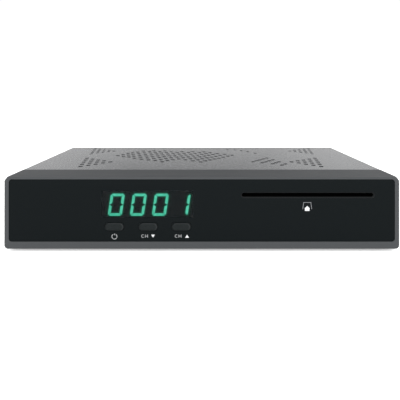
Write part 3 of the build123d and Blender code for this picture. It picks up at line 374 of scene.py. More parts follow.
# electronics
fr4 = Mat("board_laminate", (0.012, 0.085, 0.034), 0.32, 0.0, 0.5)
weave = fr4.node("ShaderNodeTexChecker", {"Vector": fr4.co, "Scale": 1100.0})
cloud = fr4.noise(60.0, 3.0)
fr4.set("Base Color", fr4.mix(fr4.math("MULTIPLY", weave.outputs["Fac"], 0.25), fr4.mix(cloud, (0.010, 0.074, 0.030), (0.014, 0.098, 0.040)),
                              (0.020, 0.125, 0.055)))
fr4.set("Roughness", fr4.remap(cloud, 0.3, 0.7, 0.26, 0.38))
fr4.bump(weave.outputs["Fac"], 0.08, 0.01)

track = Mat("board_track", (0.022, 0.16, 0.062), 0.28, 0.0, 0.5)
tn = track.noise(300.0, 3.0)
track.set("Base Color", track.mix(tn, (0.019, 0.14, 0.054), (0.026, 0.18, 0.072)))
track.set("Roughness", track.remap(tn, 0.3, 0.7, 0.24, 0.34))

silk = Mat("board_legend", (0.72, 0.73, 0.70), 0.6, 0.0, 0.3)
silk.set("Base Color", silk.mix(silk.remap(silk.noise(1500.0, 3.0), 0.4, 0.7, 0.0, 1.0), (0.76, 0.77, 0.74), (0.60, 0.62, 0.58)))

chip = moulded("chip_black", (0.022, 0.022, 0.024), rough=0.6, spec=0.35, grain_mm=0.22, depth=0.01, vary=0.1, edge=0.08)
sink = Mat("heatsink_alu", (0.035, 0.036, 0.040), 0.42, 0.35, 0.5)
sn = sink.noise(1600.0, 3.0, 0.6, stretch=(1.0, 0.05, 1.0))
sink.set("Base Color", sink.mix(sink.remap(sn, 0.3, 0.7, 0.0, 1.0), (0.028, 0.029, 0.033), (0.046, 0.047, 0.052)))
sink.set("Roughness", sink.remap(sn, 0.3, 0.7, 0.36, 0.5))
sink.soft_edges(0.12).bump(sn, 0.3, 0.01)

sleeve = Mat("capacitor_sleeve", (0.02, 0.02, 0.035), 0.3, 0.0, 0.5)
sleeve.set("Base Color", sleeve.mix(sleeve.remap(sleeve.noise(400.0), 0.3, 0.7, 0.0, 1.0), (0.017, 0.018, 0.032),
                                    (0.024, 0.025, 0.042)))
sleeve.bump(sleeve.noise(500.0, 2.0), 0.15, 0.02)
stripe = Mat("capacitor_stripe", (0.45, 0.46, 0.48), 0.35, 0.0, 0.5)
stripe.set("Base Color", stripe.mix(stripe.remap(stripe.noise(400.0), 0.3, 0.7, 0.0, 1.0), (0.42, 0.43, 0.45), (0.49, 0.50, 0.52)))
can_top = plated("capacitor_top", (0.72, 0.72, 0.73), 0.3, tarnish=(0.6, 0.6, 0.6))
ferrite = moulded("ferrite", (0.07, 0.07, 0.075), rough=0.7, spec=0.3, grain_mm=0.3, depth=0.02, vary=0.15)

ribbon = Mat("ribbon_white", (0.62, 0.62, 0.60), 0.45, 0.0, 0.4)
rw = ribbon.node("ShaderNodeTexWave", {"Vector": ribbon.co, "Scale": 314.16 / 1.25}, wave_type="BANDS", bands_direction="X",
                 wave_profile="SIN")
ribbon.set("Base Color", ribbon.mix(ribbon.remap(rw.outputs["Fac"], 0.0, 0.5, 0.0, 1.0), (0.44, 0.44, 0.43), (0.66, 0.66, 0.64)))
ribbon.bump(rw.outputs["Fac"], 0.6, 0.15)
nylon = moulded("nylon_white", (0.66, 0.65, 0.60), rough=0.42, spec=0.4, grain_mm=0.5, depth=0.008, vary=0.03)
ptfe = moulded("insulator_white", (0.72, 0.72, 0.69), rough=0.38, spec=0.4, grain_mm=0.4, depth=0.006, vary=0.02)
audio = moulded("audio_socket", (0.62, 0.20, 0.022), rough=0.4, spec=0.45, grain_mm=0.4, depth=0.008, vary=0.05)

NODE_MATS = {
    "front_bezel": bezel, "front_fascia": gloss, "display_window": smoke,
    "power_button": button, "channel_down_button": button, "channel_up_button": button,
    "power_switch_plunger": black, "channel_down_switch_plunger": black, "channel_up_switch_plunger": black,
    "tact_switch_bodies": black,
    "front_board": fr4, "card_reader_board": fr4, "main_board": fr4,
    "front_board_screws": zinc, "card_reader_screws": zinc, "main_board_screws": zinc, "bezel_screws": zinc,
    "cover_side_screws": black_oxide, "cover_rear_screws": black_oxide,
    "display_module": module_face, "display_segments_lit": lit, "display_segments_unlit": unlit,
    "ir_receiver": black,
    "front_ribbon_cable": ribbon, "card_reader_ribbon": ribbon, "ribbon_headers": nylon,
    "card_reader_frame": reader, "card_contacts": gold, "card_reader_pillars": brass,
    "chassis_base": base, "top_cover": cover, "rubber_feet": rubber,
    "board_standoffs": steel, "tuner_can": tin, "tuner_lid": tin,
    "lnb_in_connector": nickel, "lnb_loop_connector": nickel, "connector_washers": nickel, "connector_nuts": nickel,
    "hdmi_socket": steel, "usb_socket": steel, "spdif_socket": audio,
    "scart_tv_socket": black, "scart_vcr_socket": black, "dc_power_jack": black,
    "power_switch_housing": black, "power_switch_rocker": black,
    "main_processor": chip, "memory_chips": chip, "small_ics": chip,
    "heatsink": sink, "electrolytic_capacitors": sleeve, "power_inductors": ferrite,
    "crystals": steel, "chip_components": chip,
}
for name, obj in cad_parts.items():
    m = NODE_MATS[name].mat
    for i in range(len(obj.material_slots)):
        obj.material_slots[i].material = m


# ---------------------------------------------------------------- mesh helpers
def place(name, bm, mat, body="housing", smooth=None):
    """Turns a bmesh in millimetres into a piece that rides on a body."""
    bmesh.ops.scale(bm, vec=(MM, MM, MM), verts=bm.verts)
    bmesh.ops.recalc_face_normals(bm, faces=bm.faces)
    me = bpy.data.meshes.new(name)
    bm.to_mesh(me)
    bm.free()
    mats = mat if isinstance(mat, (list, tuple)) else [mat]
    for m in mats:
        me.materials.append(m.mat)
    if smooth is not None:
        for p in me.polygons:
            p.use_smooth = True
        me.set_sharp_from_angle(angle=math.radians(smooth))
    obj = bpy.data.objects.new(name, me)
    bpy.context.scene.collection.objects.link(obj)
    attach(obj, body)
    return obj


def prism(bm, pts, y0, y1, bevel=0.0, mat=0):
    """A polygon drawn in X and Z, made solid from y0 (front) to y1."""
    front = [bm.verts.new((x, y0, z)) for x, z in pts]
    back = [bm.verts.new((x, y1, z)) for x, z in pts]
    faces = [bm.faces.new(front), bm.faces.new(back[::-1])]
    n = len(pts)
    for i in range(n):
        j = (i + 1) % n
        faces.append(bm.faces.new((front[j], front[i], back[i], back[j])))
    for f in faces:
        f.material_index = mat
    return front, back, faces


def bar(bm, x0, x1, y0, y1, z0, z1, bevel=0.0, seg=2, mat=0):
    """A box with its edges broken by a small bevel."""
    r = bmesh.ops.create_cube(bm, size=1.0)
    vs = r["verts"]
    for v in vs:
        v.co = Vector(((x0 + x1) / 2 + v.co.x * (x1 - x0), (y0 + y1) / 2 + v.co.y * (y1 - y0), (z0 + z1) / 2 + v.co.z * (z1 - z0)))
    es = list({e for v in vs for e in v.link_edges})
    fs = list({f for v in vs for f in v.link_faces})
    for f in fs:
        f.material_index = mat
    if bevel:
        r = bmesh.ops.bevel(bm, geom=es, offset=bevel, offset_type="OFFSET", segments=seg, profile=0.5, affect="EDGES", clamp_overlap=True)
        for f in r["faces"]:
            f.material_index = mat


def lathe_y(bm, x, z, profile, n=64, mat=0, closed=True):
    """Turns (r, y) points about an axis along Y at (x, z)."""
    rings = []
    for r, y in profile:
        if r <= 1e-6:
            rings.append([bm.verts.new((x, y, z))])
        else:
            rings.append([bm.verts.new((x + r * math.cos(2 * math.pi * k / n), y, z + r * math.sin(2 * math.pi * k / n)))
                          for k in range(n)])
    for a, b in zip(rings, rings[1:]):
        if len(a) == 1 and len(b) == 1:
            continue
        for k in range(n):
            l = (k + 1) % n
            if len(a) == 1:
                f = bm.faces.new((a[0], b[k], b[l]))
            elif len(b) == 1:
                f = bm.faces.new((a[k], a[l], b[0]))
            else:
                f = bm.faces.new((a[k], a[l], b[l], b[k]))
            f.material_index = mat
    return rings


def lathe_z(bm, x, y, profile, n=48, mat=0):
    """Turns (r, z) points about an axis along Z at (x, y)."""
    rings = []
    for r, z in profile:
        if r <= 1e-6:
            rings.append([bm.verts.new((x, y, z))])
        else:
            rings.append([bm.verts.new((x + r * math.cos(2 * math.pi * k / n), y + r * math.sin(2 * math.pi * k / n), z))
                          for k in range(n)])
    out = []
    for a, b in zip(rings, rings[1:]):
        if len(a) == 1 and len(b) == 1:
            continue
        for k in range(n):
            l = (k + 1) % n
            if len(a) == 1:
                f = bm.faces.new((a[0], b[k], b[l]))
            elif len(b) == 1:
                f = bm.faces.new((a[k], a[l], b[0]))
            else:
                f = bm.faces.new((a[k], a[l], b[l], b[k]))
            f.material_index = mat
            out.append(f)
    return out


def rounded(pts, r, n=3):
    """Rounds the corners of a polygon."""
    out = []
    m = len(pts)
    for i in range(m):
        p0, p, p1 = Vector(pts[i - 1]), Vector(pts[i]), Vector(pts[(i + 1) % m])
        a, b = (p0 - p), (p1 - p)
        la, lb = a.length, b.length
        a.normalize()
        b.normalize()
        ang = math.acos(max(-1.0, min(1.0, a.dot(b))))
        if ang > math.pi - 0.05:
            out.append(tuple(p))
            continue
        d = min(r / math.tan(ang / 2), 0.45 * la, 0.45 * lb)
        rr = d * math.tan(ang / 2)
        c = p + (a + b).normalized() * (rr / math.sin(ang / 2))
        s, e = p + a * d, p + b * d
        a0 = math.atan2(s.y - c.y, s.x - c.x)
        a1 = math.atan2(e.y - c.y, e.x - c.x)
        da = (a1 - a0 + math.pi) % (2 * math.pi) - math.pi
        for k in range(n + 1):
            t = a0 + da * k / n
            out.append((c.x + rr * math.cos(t), c.y + rr * math.sin(t)))
    return out


def rect(x0, x1, z0, z1):
    return [(x0, z0), (x1, z0), (x1, z1), (x0, z1)]


# ---------------------------------------------------------------- display
def digit_segments(cx):
    w, h, t = DIGIT_W / 2, DIGIT_H / 2, SEG_T
    c, s = 1.15, 0.12
    a = [(-w + c + s, h), (w - c - s, h), (w - c / 2 - s, h - c / 2 - s * 0.2), (w - t - s, h - t), (-w + t + s, h - t),
         (-w + c / 2 + s, h - c / 2 - s * 0.2)]
    b = [(w, h - c - s), (w - c / 2, h - c / 2 - s), (w - t, h - t - s), (w - t, t / 2 + 0.25), (w - 0.35, 0.2), (w, 0.2)]
    f = [(-u, v) for u, v in b][::-1]
    c_ = [(u, -v) for u, v in b][::-1]
    e = [(-u, -v) for u, v in b]
    d = [(u, -v) for u, v in a][::-1]
    k = math.tan(math.radians(SLANT))
    return {key: [(cx + u + v * k, DIGIT_Z + v) for u, v in pts]
            for key, pts in {"a": a, "b": b, "c": c_, "d": d, "e": e, "f": f}.items()}


lit_polys = []
for cx, on in zip(DIGIT_X, ("abcdef", "abcdef", "abcdef", "bc")):
    segs = digit_segments(cx)
    lit_polys += [rounded(segs[k], 0.22, 3) for k in on]
bm = bmesh.new()
for pts in lit_polys:
    prism(bm, pts, MODULE_Y - 0.06, MODULE_Y + 0.55)
seg_obj = place("lit_segments", bm, lit)
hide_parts("display_segments_lit")

# the film over the display face, which carries the light that bleeds round each lit bar
nx, nz = 250, 78
xs = np.linspace(-67.2, -3.8, nx)
zs = np.linspace(22.3, 41.1, nz)
gx, gz = np.meshgrid(xs, zs, indexing="ij")
dist = np.full(gx.shape, 99.0)
for pts in lit_polys:
    m = len(pts)
    inside = np.zeros(gx.shape, bool)
    for i in range(m):
        (x1, z1), (x2, z2) = pts[i], pts[(i + 1) % m]
        dx, dz = x2 - x1, z2 - z1
        t = np.clip(((gx - x1) * dx + (gz - z1) * dz) / max(dx * dx + dz * dz, 1e-9), 0, 1)
        dist = np.minimum(dist, np.hypot(gx - x1 - t * dx, gz - z1 - t * dz))
        with np.errstate(divide="ignore", invalid="ignore"):
            cross = ((z1 > gz) != (z2 > gz)) & (gx < (x2 - x1) * (gz - z1) / (z2 - z1 + 1e-12) + x1)
        inside ^= cross
    dist[inside] = 0.0
level = np.exp(-(dist / 0.85) ** 1.5)
me = bpy.data.meshes.new("display_film")
verts = [(float(x) * MM, (MODULE_Y - 0.03) * MM, float(z) * MM) for x in xs for z in zs]
faces = [(i * nz + j, (i + 1) * nz + j, (i + 1) * nz + j + 1, i * nz + j + 1) for i in range(nx - 1) for j in range(nz - 1)]
me.from_pydata(verts, [], faces)
me.materials.append(glow.mat)
ca = me.attributes.new("glow", "FLOAT", "POINT")
ca.data.foreach_set("value", level.ravel().astype(np.float32))
film = bpy.data.objects.new("display_film", me)
bpy.context.scene.collection.objects.link(film)
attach(film, "housing")

# the smoked filter, let flush into the fascia, with black print round the display on its back
wx0, wx1, wz0, wz1 = WINDOW
bm = bmesh.new()
prism(bm, rounded(rect(wx0 + 0.004, wx1 - 0.004, wz0 + 0.004, wz1 - 0.004), 0.5, 6), FACE_Y, FACE_Y + 1.97)
bm.normal_update()
for f in bm.faces:
    f.material_index = 0 if f.calc_center_median().y < FACE_Y + 0.01 else 1
win = place("display_filter", bm, [smoke, clear])
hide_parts("display_window")
bm = bmesh.new()
for x0, x1, z0, z1 in ((wx0 + 0.02, -66.6, wz0 + 0.02, wz1 - 0.02), (-4.3, wx1 - 0.02, wz0 + 0.02, wz1 - 0.02),
                       (-66.6, -4.3, wz0 + 0.02, 22.6), (-66.6, -4.3, 40.7, wz1 - 0.02)):
    prism(bm, rect(x0, x1, z0, z1), FACE_Y + 1.985, FACE_Y + 1.998)
place("filter_back_print", bm, back_print)

# a black sheet behind the rear panel's vent slots, painted shade that keeps the bright floor from showing through the
# vents
bm = bmesh.new()
prism(bm, rect(-80.4, 28.4, 30.9, 40.1), 76.12, 76.32)
place("vent_shade_sheet", bm, black)

# ---------------------------------------------------------------- printed marks on the fascia
INK0, INK1 = FACE_Y - 0.02, FACE_Y + 0.01


def arc_band(bm, cx, cz, r, w, a0, a1, n=28, caps=True, y0=INK0, y1=INK1):
    """A ring sector of middle radius r and width w, angles in degrees from +X."""
    outer, inner = [], []
    for k in range(n + 1):
        t = math.radians(a0 + (a1 - a0) * k / n)
        outer.append((cx + (r + w / 2) * math.cos(t), cz + (r + w / 2) * math.sin(t)))
        inner.append((cx + (r - w / 2) * math.cos(t), cz + (r - w / 2) * math.sin(t)))
    for k in range(n):
        prism(bm, [outer[k], outer[k + 1], inner[k + 1], inner[k]], y0, y1)


bm = bmesh.new()
arc_band(bm, -57.5, 10.35, 1.66, 0.22, 122, 418, 36)
prism(bm, rounded(rect(-57.60, -57.40, 11.3, 12.35), 0.1, 2), INK0, INK1)
bmesh.ops.remove_doubles(bm, verts=bm.verts, dist=1e-5)
place("power_mark", bm, ink)


def letters_ch(bm, x, z0=9.6, h=2.1, w=1.8, gap=0.80, s=0.23):
    r = h / 2 - s / 2
    cz = z0 + h / 2
    # C, an arc squeezed in width
    outer, inner = [], []
    n = 24
    for k in range(n + 1):
        t = math.radians(48 + (312 - 48) * k / n)
        outer.append((x + w / 2 + (w / 2 + 0.06) * math.cos(t), cz + (h / 2) * math.sin(t)))
        inner.append((x + w / 2 + (w / 2 + 0.06 - s) * math.cos(t), cz + (h / 2 - s) * math.sin(t)))
    for k in range(n):
        prism(bm, [outer[k], outer[k + 1], inner[k + 1], inner[k]], INK0, INK1)
    hx = x + w + gap - 0.2
    prism(bm, rect(hx, hx + s, z0, z0 + h), INK0, INK1)
    prism(bm, rect(hx + w - s, hx + w, z0, z0 + h), INK0, INK1)
    prism(bm, rect(hx + s, hx + w - s, cz - s / 2, cz + s / 2), INK0, INK1)


bm = bmesh.new()
letters_ch(bm, -39.7)
letters_ch(bm, -17.65)
place("channel_letters", bm, ink_soft)
bm = bmesh.new()
prism(bm, [(-33.35, 11.6), (-32.1, 9.65), (-30.85, 11.6)], INK0, INK1)
prism(bm, [(-10.95, 9.55), (-8.4, 9.55), (-9.675, 11.6)], INK0, INK1)
place("channel_arrows", bm, ink)

# a plain card outline with an arrow, under the card slot
bm = bmesh.new()
out_c = [(66.3, 28.4), (66.9, 32.9), (71.9, 32.9), (72.5, 28.4)]
k_in = [(66.62, 28.4), (67.17, 32.63), (71.63, 32.63), (72.18, 28.4)]
prism(bm, [out_c[0], out_c[1], k_in[1], k_in[0]], INK0, INK1)
prism(bm, [out_c[1], out_c[2], k_in[2], k_in[1]], INK0, INK1)
prism(bm, [out_c[2], out_c[3], k_in[3], k_in[2]], INK0, INK1)
place("card_outline_mark", bm, ink_grey)
bm = bmesh.new()
prism(bm, [(67.85, 27.2), (70.85, 27.2), (70.95, 29.0), (69.4, 30.5), (67.75, 29.0)], INK0, INK1)
place("card_arrow_mark", bm, ink)


# ---------------------------------------------------------------- aerial connectors
def thread(bm, x, z, y0, y1, r_major, r_minor, pitch, n=72, per=8, mat=0):
    """A helical screw thread along Y."""
    rows = int((y1 - y0) / pitch * per)
    grid = []
    for i in range(rows + 1):
        y = y0 + (y1 - y0) * i / rows
        ease = min(1.0, (y1 - y) / (0.5 * pitch), (y - y0) / (0.3 * pitch))
        ring = []
        for k in range(n):
            a = 2 * math.pi * k / n
            ph = ((y - y0) / pitch - k / n) % 1.0
            tri = abs(2 * ph - 1)
            tri = min(1.0, max(0.0, (tri - 0.1) / 0.8))
            r = r_minor + (r_major - r_minor) * tri * max(0.0, ease)
            ring.append(bm.verts.new((x + r * math.cos(a), y, z + r * math.sin(a))))
        grid.append(ring)
    for a, b in zip(grid, grid[1:]):
        for k in range(n):
            l = (k + 1) % n
            f = bm.faces.new((a[k], a[l], b[l], b[k]))
            f.material_index = mat
    return grid


for key, x in (("lnb_in", 112.0), ("lnb_loop", 93.0)):
    bm = bmesh.new()
    lathe_y(bm, x, LNB_Z, [(0.0, 72.3), (2.95, 72.3), (2.95, 76.3), (4.55, 76.3), (4.55, 79.6), (4.36, 79.7)])
    g = thread(bm, x, LNB_Z, 79.7, 87.1, 4.74, 4.36, 0.79)
    lathe_y(bm, x, LNB_Z, [(4.36, 87.1), (4.34, 87.45), (4.12, 87.7), (3.66, 87.7), (3.60, 87.6), (3.60, 86.95)])
    bmesh.ops.remove_doubles(bm, verts=bm.verts, dist=1e-4)
    o = place(key + "_threaded_barrel", bm, nickel, smooth=38)
    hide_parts(key + "_connector")
    bm = bmesh.new()
    lathe_y(bm, x, LNB_Z, [(3.60, 86.9), (3.60, 87.18), (3.5, 87.26), (1.5, 87.26), (1.3, 87.1), (0.85, 87.05), (0.72, 86.9), (0.72, 83.2), (0.0, 83.2)])
    place(key + "_insulator", bm, ptfe, smooth=35)
    bm = bmesh.new()
    for s in (-1, 1):
        lathe = []
        pts = []
        for k in range(9):
            t = math.radians(-62 + 124 * k / 8 + (0 if s > 0 else 180))
            pts.append((x + 0.66 * math.cos(t), LNB_Z + 0.66 * math.sin(t)))
        for k in range(8, -1, -1):
            t = math.radians(-62 + 124 * k / 8 + (0 if s > 0 else 180))
            pts.append((x + 0.44 * math.cos(t), LNB_Z + 0.44 * math.sin(t)))
        prism(bm, pts, 83.3, 86.85)
    place(key + "_centre_contact", bm, gold, smooth=30)

# ---------------------------------------------------------------- 21-way sockets
for key, cx in (("scart_tv", -2.0), ("scart_vcr", -57.0)):
    y1 = PANEL_Y1 + 0.9
    bm = bmesh.new()
    for i in range(10):
        for j in (-1, 1):
            px = cx - 18.4 + i * 3.81 + (0.0 if j < 0 else 1.9)
            zc = SCART_Z + j * 2.35
            bar(bm, px - 0.28, px + 0.28, y1 - 6.4, y1 - 1.5, zc - 1.25, zc + 1.25, 0.1)
            bar(bm, px - 0.5, px - 0.2, y1 - 6.4, y1 - 2.4, zc - 1.1, zc + 1.1, 0.06)
    place(key + "_contacts", bm, steel)
    # drawn shell that lines the groove
    bm = bmesh.new()

    def dee(grow):
        w, h = 23.0 + grow, 6.0 + grow
        return rounded([(cx - w, SCART_Z - h), (cx + w, SCART_Z - h), (cx + w, SCART_Z + h - 5.5), (cx + w - 4.2, SCART_Z + h),
                        (cx - w, SCART_Z + h)], 0.5, 3)

    o_, i_ = dee(0.58), dee(0.20)
    n = len(o_)
    loops = []
    for pts, y in ((o_, y1 - 8.4), (o_, y1 - 0.15), (dee(0.5), y1 - 0.02), (dee(0.28), y1 - 0.02), (i_, y1 - 0.15), (i_, y1 - 8.4)):
        loops.append([bm.verts.new((px, y, pz)) for px, pz in pts])
    for a, b in zip(loops, loops[1:] + loops[:1]):
        for k in range(n):
            l = (k + 1) % n
            bm.faces.new((a[k], a[l], b[l], b[k]))
    place(key + "_shell", bm, steel, smooth=40)

# ---------------------------------------------------------------- HDMI and USB tongues and contacts
hx, hz = HDMI
bm = bmesh.new()
bar(bm, hx - 5.68, hx + 5.68, PANEL_Y1 - 7.9, PANEL_Y1 - 0.22, hz + 0.03, hz + 1.37, 0.14)
place("hdmi_tongue", bm, black)
bm = bmesh.new()
for i in range(10):
    px = hx - 4.5 + i * 1.0
    bar(bm, px - 0.24, px + 0.24, PANEL_Y1 - 7.6, PANEL_Y1 - 0.9, hz - 0.03, hz + 0.2, 0.05)
    if i < 9:
        bar(bm, px + 0.26, px + 0.74, PANEL_Y1 - 7.6, PANEL_Y1 - 0.9, hz + 1.2, hz + 1.43, 0.05)
place("hdmi_contacts", bm, gold)
bm = bmesh.new()
for s in (-1, 1):
    for dx in (-3.6, 3.6):
        z0 = hz + s * 2.7
        pts = [(hx + dx - 1.0, z0), (hx + dx + 1.0, z0)]
        # a leaf that bows into the mouth
        prof = [(-6.6, 0.02), (-4.5, 0.28), (-2.6, 0.55), (-1.6, 0.42), (-1.0, 0.2)]
        top = [[bm.verts.new((hx + dx + u, PANEL_Y1 + y, z0 - s * d)) for u in (-0.9, 0.9)] for y, d in prof]
        bot = [[bm.verts.new((hx + dx + u, PANEL_Y1 + y, z0 - s * (d - 0.18))) for u in (-0.9, 0.9)] for y, d in prof]
        for a, b in ((top, 1), (bot, -1)):
            for p, q in zip(a, a[1:]):
                bm.faces.new((p[0], p[1], q[1], q[0]))
        for (p, q), (r, t) in zip(zip(top, top[1:]), zip(bot, bot[1:])):
            bm.faces.new((p[0], q[0], t[0], r[0]))
            bm.faces.new((p[1], q[1], t[1], r[1]))
        bm.faces.new((top[0][0], top[0][1], bot[0][1], bot[0][0]))
        bm.faces.new((top[-1][0], top[-1][1], bot[-1][1], bot[-1][0]))
place("hdmi_spring_leaves", bm, steel, smooth=30)

ux, uz = USB
bm = bmesh.new()
bar(bm, ux - 5.7, ux + 5.7, PANEL_Y1 - 9.3, PANEL_Y1 - 0.72, uz + 0.43, uz + 2.27, 0.18)
place("usb_tongue", bm, nylon)
bm = bmesh.new()
for i, px in enumerate((ux - 3.5, ux - 1.0, ux + 1.0, ux + 3.5)):
    y1 = PANEL_Y1 - (1.5 if i in (0, 3) else 2.6)
    bar(bm, px - 0.5, px + 0.5, PANEL_Y1 - 9.0, y1, uz + 0.30, uz + 0.6, 0.07)
place("usb_contacts", bm, gold)
bm = bmesh.new()
for dx, s in ((-3.4, -1), (3.4, -1), (-3.4, 1), (3.4, 1)):
    z0 = uz + s * 3.15
    prof = [(-7.6, 0.02), (-5.0, 0.35), (-2.8, 0.75), (-1.7, 0.6), (-0.9, 0.25)] if s < 0 else \
        [(-7.6, 0.02), (-5.0, 0.2), (-2.8, 0.42), (-1.7, 0.36), (-0.9, 0.15)]
    top = [[bm.verts.new((ux + dx + u, PANEL_Y1 + y, z0 - s * d)) for u in (-1.1, 1.1)] for y, d in prof]
    bot = [[bm.verts.new((ux + dx + u, PANEL_Y1 + y, z0 - s * (d - 0.2))) for u in (-1.1, 1.1)] for y, d in prof]
    for a in (top, bot):
        for p, q in zip(a, a[1:]):
            bm.faces.new((p[0], p[1], q[1], q[0]))
    for (p, q), (r, t) in zip(zip(top, top[1:]), zip(bot, bot[1:])):
        bm.faces.new((p[0], q[0], t[0], r[0]))
        bm.faces.new((p[1], q[1], t[1], r[1]))
    bm.faces.new((top[0][0], top[0][1], bot[0][1], bot[0][0]))
    bm.faces.new((top[-1][0], top[-1][1], bot[-1][1], bot[-1][0]))
place("usb_spring_leaves", bm, steel, smooth=30)

# ---------------------------------------------------------------- digital audio socket, in its real parts
sx, sz = SPDIF
bm = bmesh.new()
bar(bm, sx - 5.0, sx + 5.0, PANEL_Y0 - 10.5, PANEL_Y0 - 0.1, BOARD_Z1, BOARD_Z1 + 13.0, 0.35)
lathe_y(bm, sx, sz, [(4.2, PANEL_Y0 - 0.6), (4.5, PANEL_Y0 - 0.6), (4.5, PANEL_Y1 + 0.16), (4.4, PANEL_Y1 + 0.3), (4.2, PANEL_Y1 + 0.3)])
body = place("spdif_body", bm, audio, smooth=35)
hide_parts("spdif_socket")
bm = bmesh.new()
lathe_y(bm, sx, sz, [(4.15, PANEL_Y0 - 0.5), (4.15, PANEL_Y1 + 8.3), (4.08, PANEL_Y1 + 8.52), (3.9, PANEL_Y1 + 8.6),
                     (3.6, PANEL_Y1 + 8.6), (3.48, PANEL_Y1 + 8.5), (3.45, PANEL_Y1 + 7.6), (3.45, PANEL_Y0 - 0.5)])
place("spdif_barrel", bm, nickel, smooth=35)
bm = bmesh.new()
lathe_y(bm, sx, sz, [(3.44, PANEL_Y1 + 7.4), (3.44, PANEL_Y1 + 7.72), (3.3, PANEL_Y1 + 7.82), (1.95, PANEL_Y1 + 7.82),
                     (1.68, PANEL_Y1 + 7.6), (1.65, PANEL_Y1 - 0.9), (0.0, PANEL_Y1 - 0.9)])
place("spdif_insulator", bm, audio, smooth=35)
bm = bmesh.new()
for s in (0, 180):
    pts = []
    for k in range(9):
        t = math.radians(-70 + 140 * k / 8 + s)
        pts.append((sx + 1.62 * math.cos(t), sz + 1.62 * math.sin(t)))
    for k in range(8, -1, -1):
        t = math.radians(-70 + 140 * k / 8 + s)
        pts.append((sx + 1.36 * math.cos(t), sz + 1.36 * math.sin(t)))
    prism(bm, pts, PANEL_Y1 - 0.8, PANEL_Y1 + 7.0)
place("spdif_centre_contact", bm, nickel, smooth=30)

# ---------------------------------------------------------------- direct-current inlet pin and spring
dx_, dz_ = DC
bm = bmesh.new()
lathe_y(bm, dx_, dz_, [(1.22, PANEL_Y1 - 8.4), (1.22, PANEL_Y1 - 7.9), (1.03, PANEL_Y1 - 7.8), (1.03, PANEL_Y1 - 0.5),
                       (0.95, PANEL_Y1 + 0.0), (0.72, PANEL_Y1 + 0.2), (0.35, PANEL_Y1 + 0.24), (0.0, PANEL_Y1 + 0.24)], n=40)
place("dc_centre_pin", bm, nickel, smooth=40)
bm = bmesh.new()
prof = [(-8.2, 3.02), (-5.0, 2.75), (-3.2, 2.35), (-2.0, 2.6), (-1.4, 2.95)]
top = [[bm.verts.new((dx_ + u, PANEL_Y1 + y, dz_ - d)) for u in (-1.1, 1.1)] for y, d in prof]
bot = [[bm.verts.new((dx_ + u, PANEL_Y1 + y, dz_ - d - 0.15)) for u in (-1.1, 1.1)] for y, d in prof]
for a in (top, bot):
    for p, q in zip(a, a[1:]):
        bm.faces.new((p[0], p[1], q[1], q[0]))
for (p, q), (r, t) in zip(zip(top, top[1:]), zip(bot, bot[1:])):
    bm.faces.new((p[0], q[0], t[0], r[0]))
    bm.faces.new((p[1], q[1], t[1], r[1]))
bm.faces.new((top[0][0], top[0][1], bot[0][1], bot[0][0]))
bm.faces.new((top[-1][0], top[-1][1], bot[-1][1], bot[-1][0]))
place("dc_spring", bm, steel, smooth=30)

# ---------------------------------------------------------------- main board: leads, pads, tracks and legend
ICS = [(38, -20, 14, 9), (60, 10, 9, 9), (94, 20, 7, 7), (-70, 40, 6, 5), (-92, 28, 5, 4), (-60, -24, 10, 10), (30, 40, 7, 5),
       (-30, 44, 7, 5), (72, 40, 6, 5), (-46, 38, 10, 6)]
CAPS = [(-108, 8, 5.0, 16.0), (-108, 22, 5.0, 16.0), (-95, 12, 4.0, 11.5), (-82, 46, 4.0, 11.5), (-72, 22, 3.15, 11.0),
        (78, 30, 4.0, 11.5), (106, 30, 3.15, 11.0), (56, 30, 3.15, 9.0), (-54, 16, 3.15, 9.0), (-60, 50, 2.5, 8.0),
        (4, 50, 2.5, 8.0), (40, 50, 2.5, 8.0), (30, -2, 3.15, 9.0)]
CHIPS = []
for i in range(9):
    CHIPS.append((-44.0 + i * 5.0, 24.0, 2.0, 1.25))
    CHIPS.append((-44.0 + i * 5.0, -21.0, 1.25, 2.0))
for i in range(6):
    CHIPS.append((22.0 + i * 4.0, 26.0, 1.25, 2.0))
    CHIPS.append((84.0 + i * 4.0, 8.0, 2.0, 1.25))
    CHIPS.append((-104.0 + i * 4.0, -8.0, 1.25, 2.0))


def gull(bm, x, y, ax, width):
    """One gull-wing lead leaving a chip at (x, y) towards ax = (dx, dy)."""
    prof = [(-0.05, 0.86), (0.34, 0.86), (0.50, 0.22), (1.0, 0.20), (1.0, 0.04), (0.38, 0.05), (0.24, 0.70), (-0.05, 0.70)]
    dx, dy = ax
    sides = []
    for s in (-width / 2, width / 2):
        sides.append([bm.verts.new((x + u * dx - s * dy, y + u * dy + s * dx, BOARD_Z1 + v)) for u, v in prof])
    a, b = sides
    bm.faces.new(a)
    bm.faces.new(b[::-1])
    for k in range(len(prof)):
        l = (k + 1) % len(prof)
        bm.faces.new((a[l], a[k], b[k], b[l]))


def flat(bm, pts, lift):
    bm.faces.new([bm.verts.new((x, y, BOARD_Z1 + lift)) for x, y in pts])


def disc(bm, x, y, r, lift, n=14):
    flat(bm, [(x + r * math.cos(2 * math.pi * k / n), y + r * math.sin(2 * math.pi * k / n)) for k in range(n)], lift)


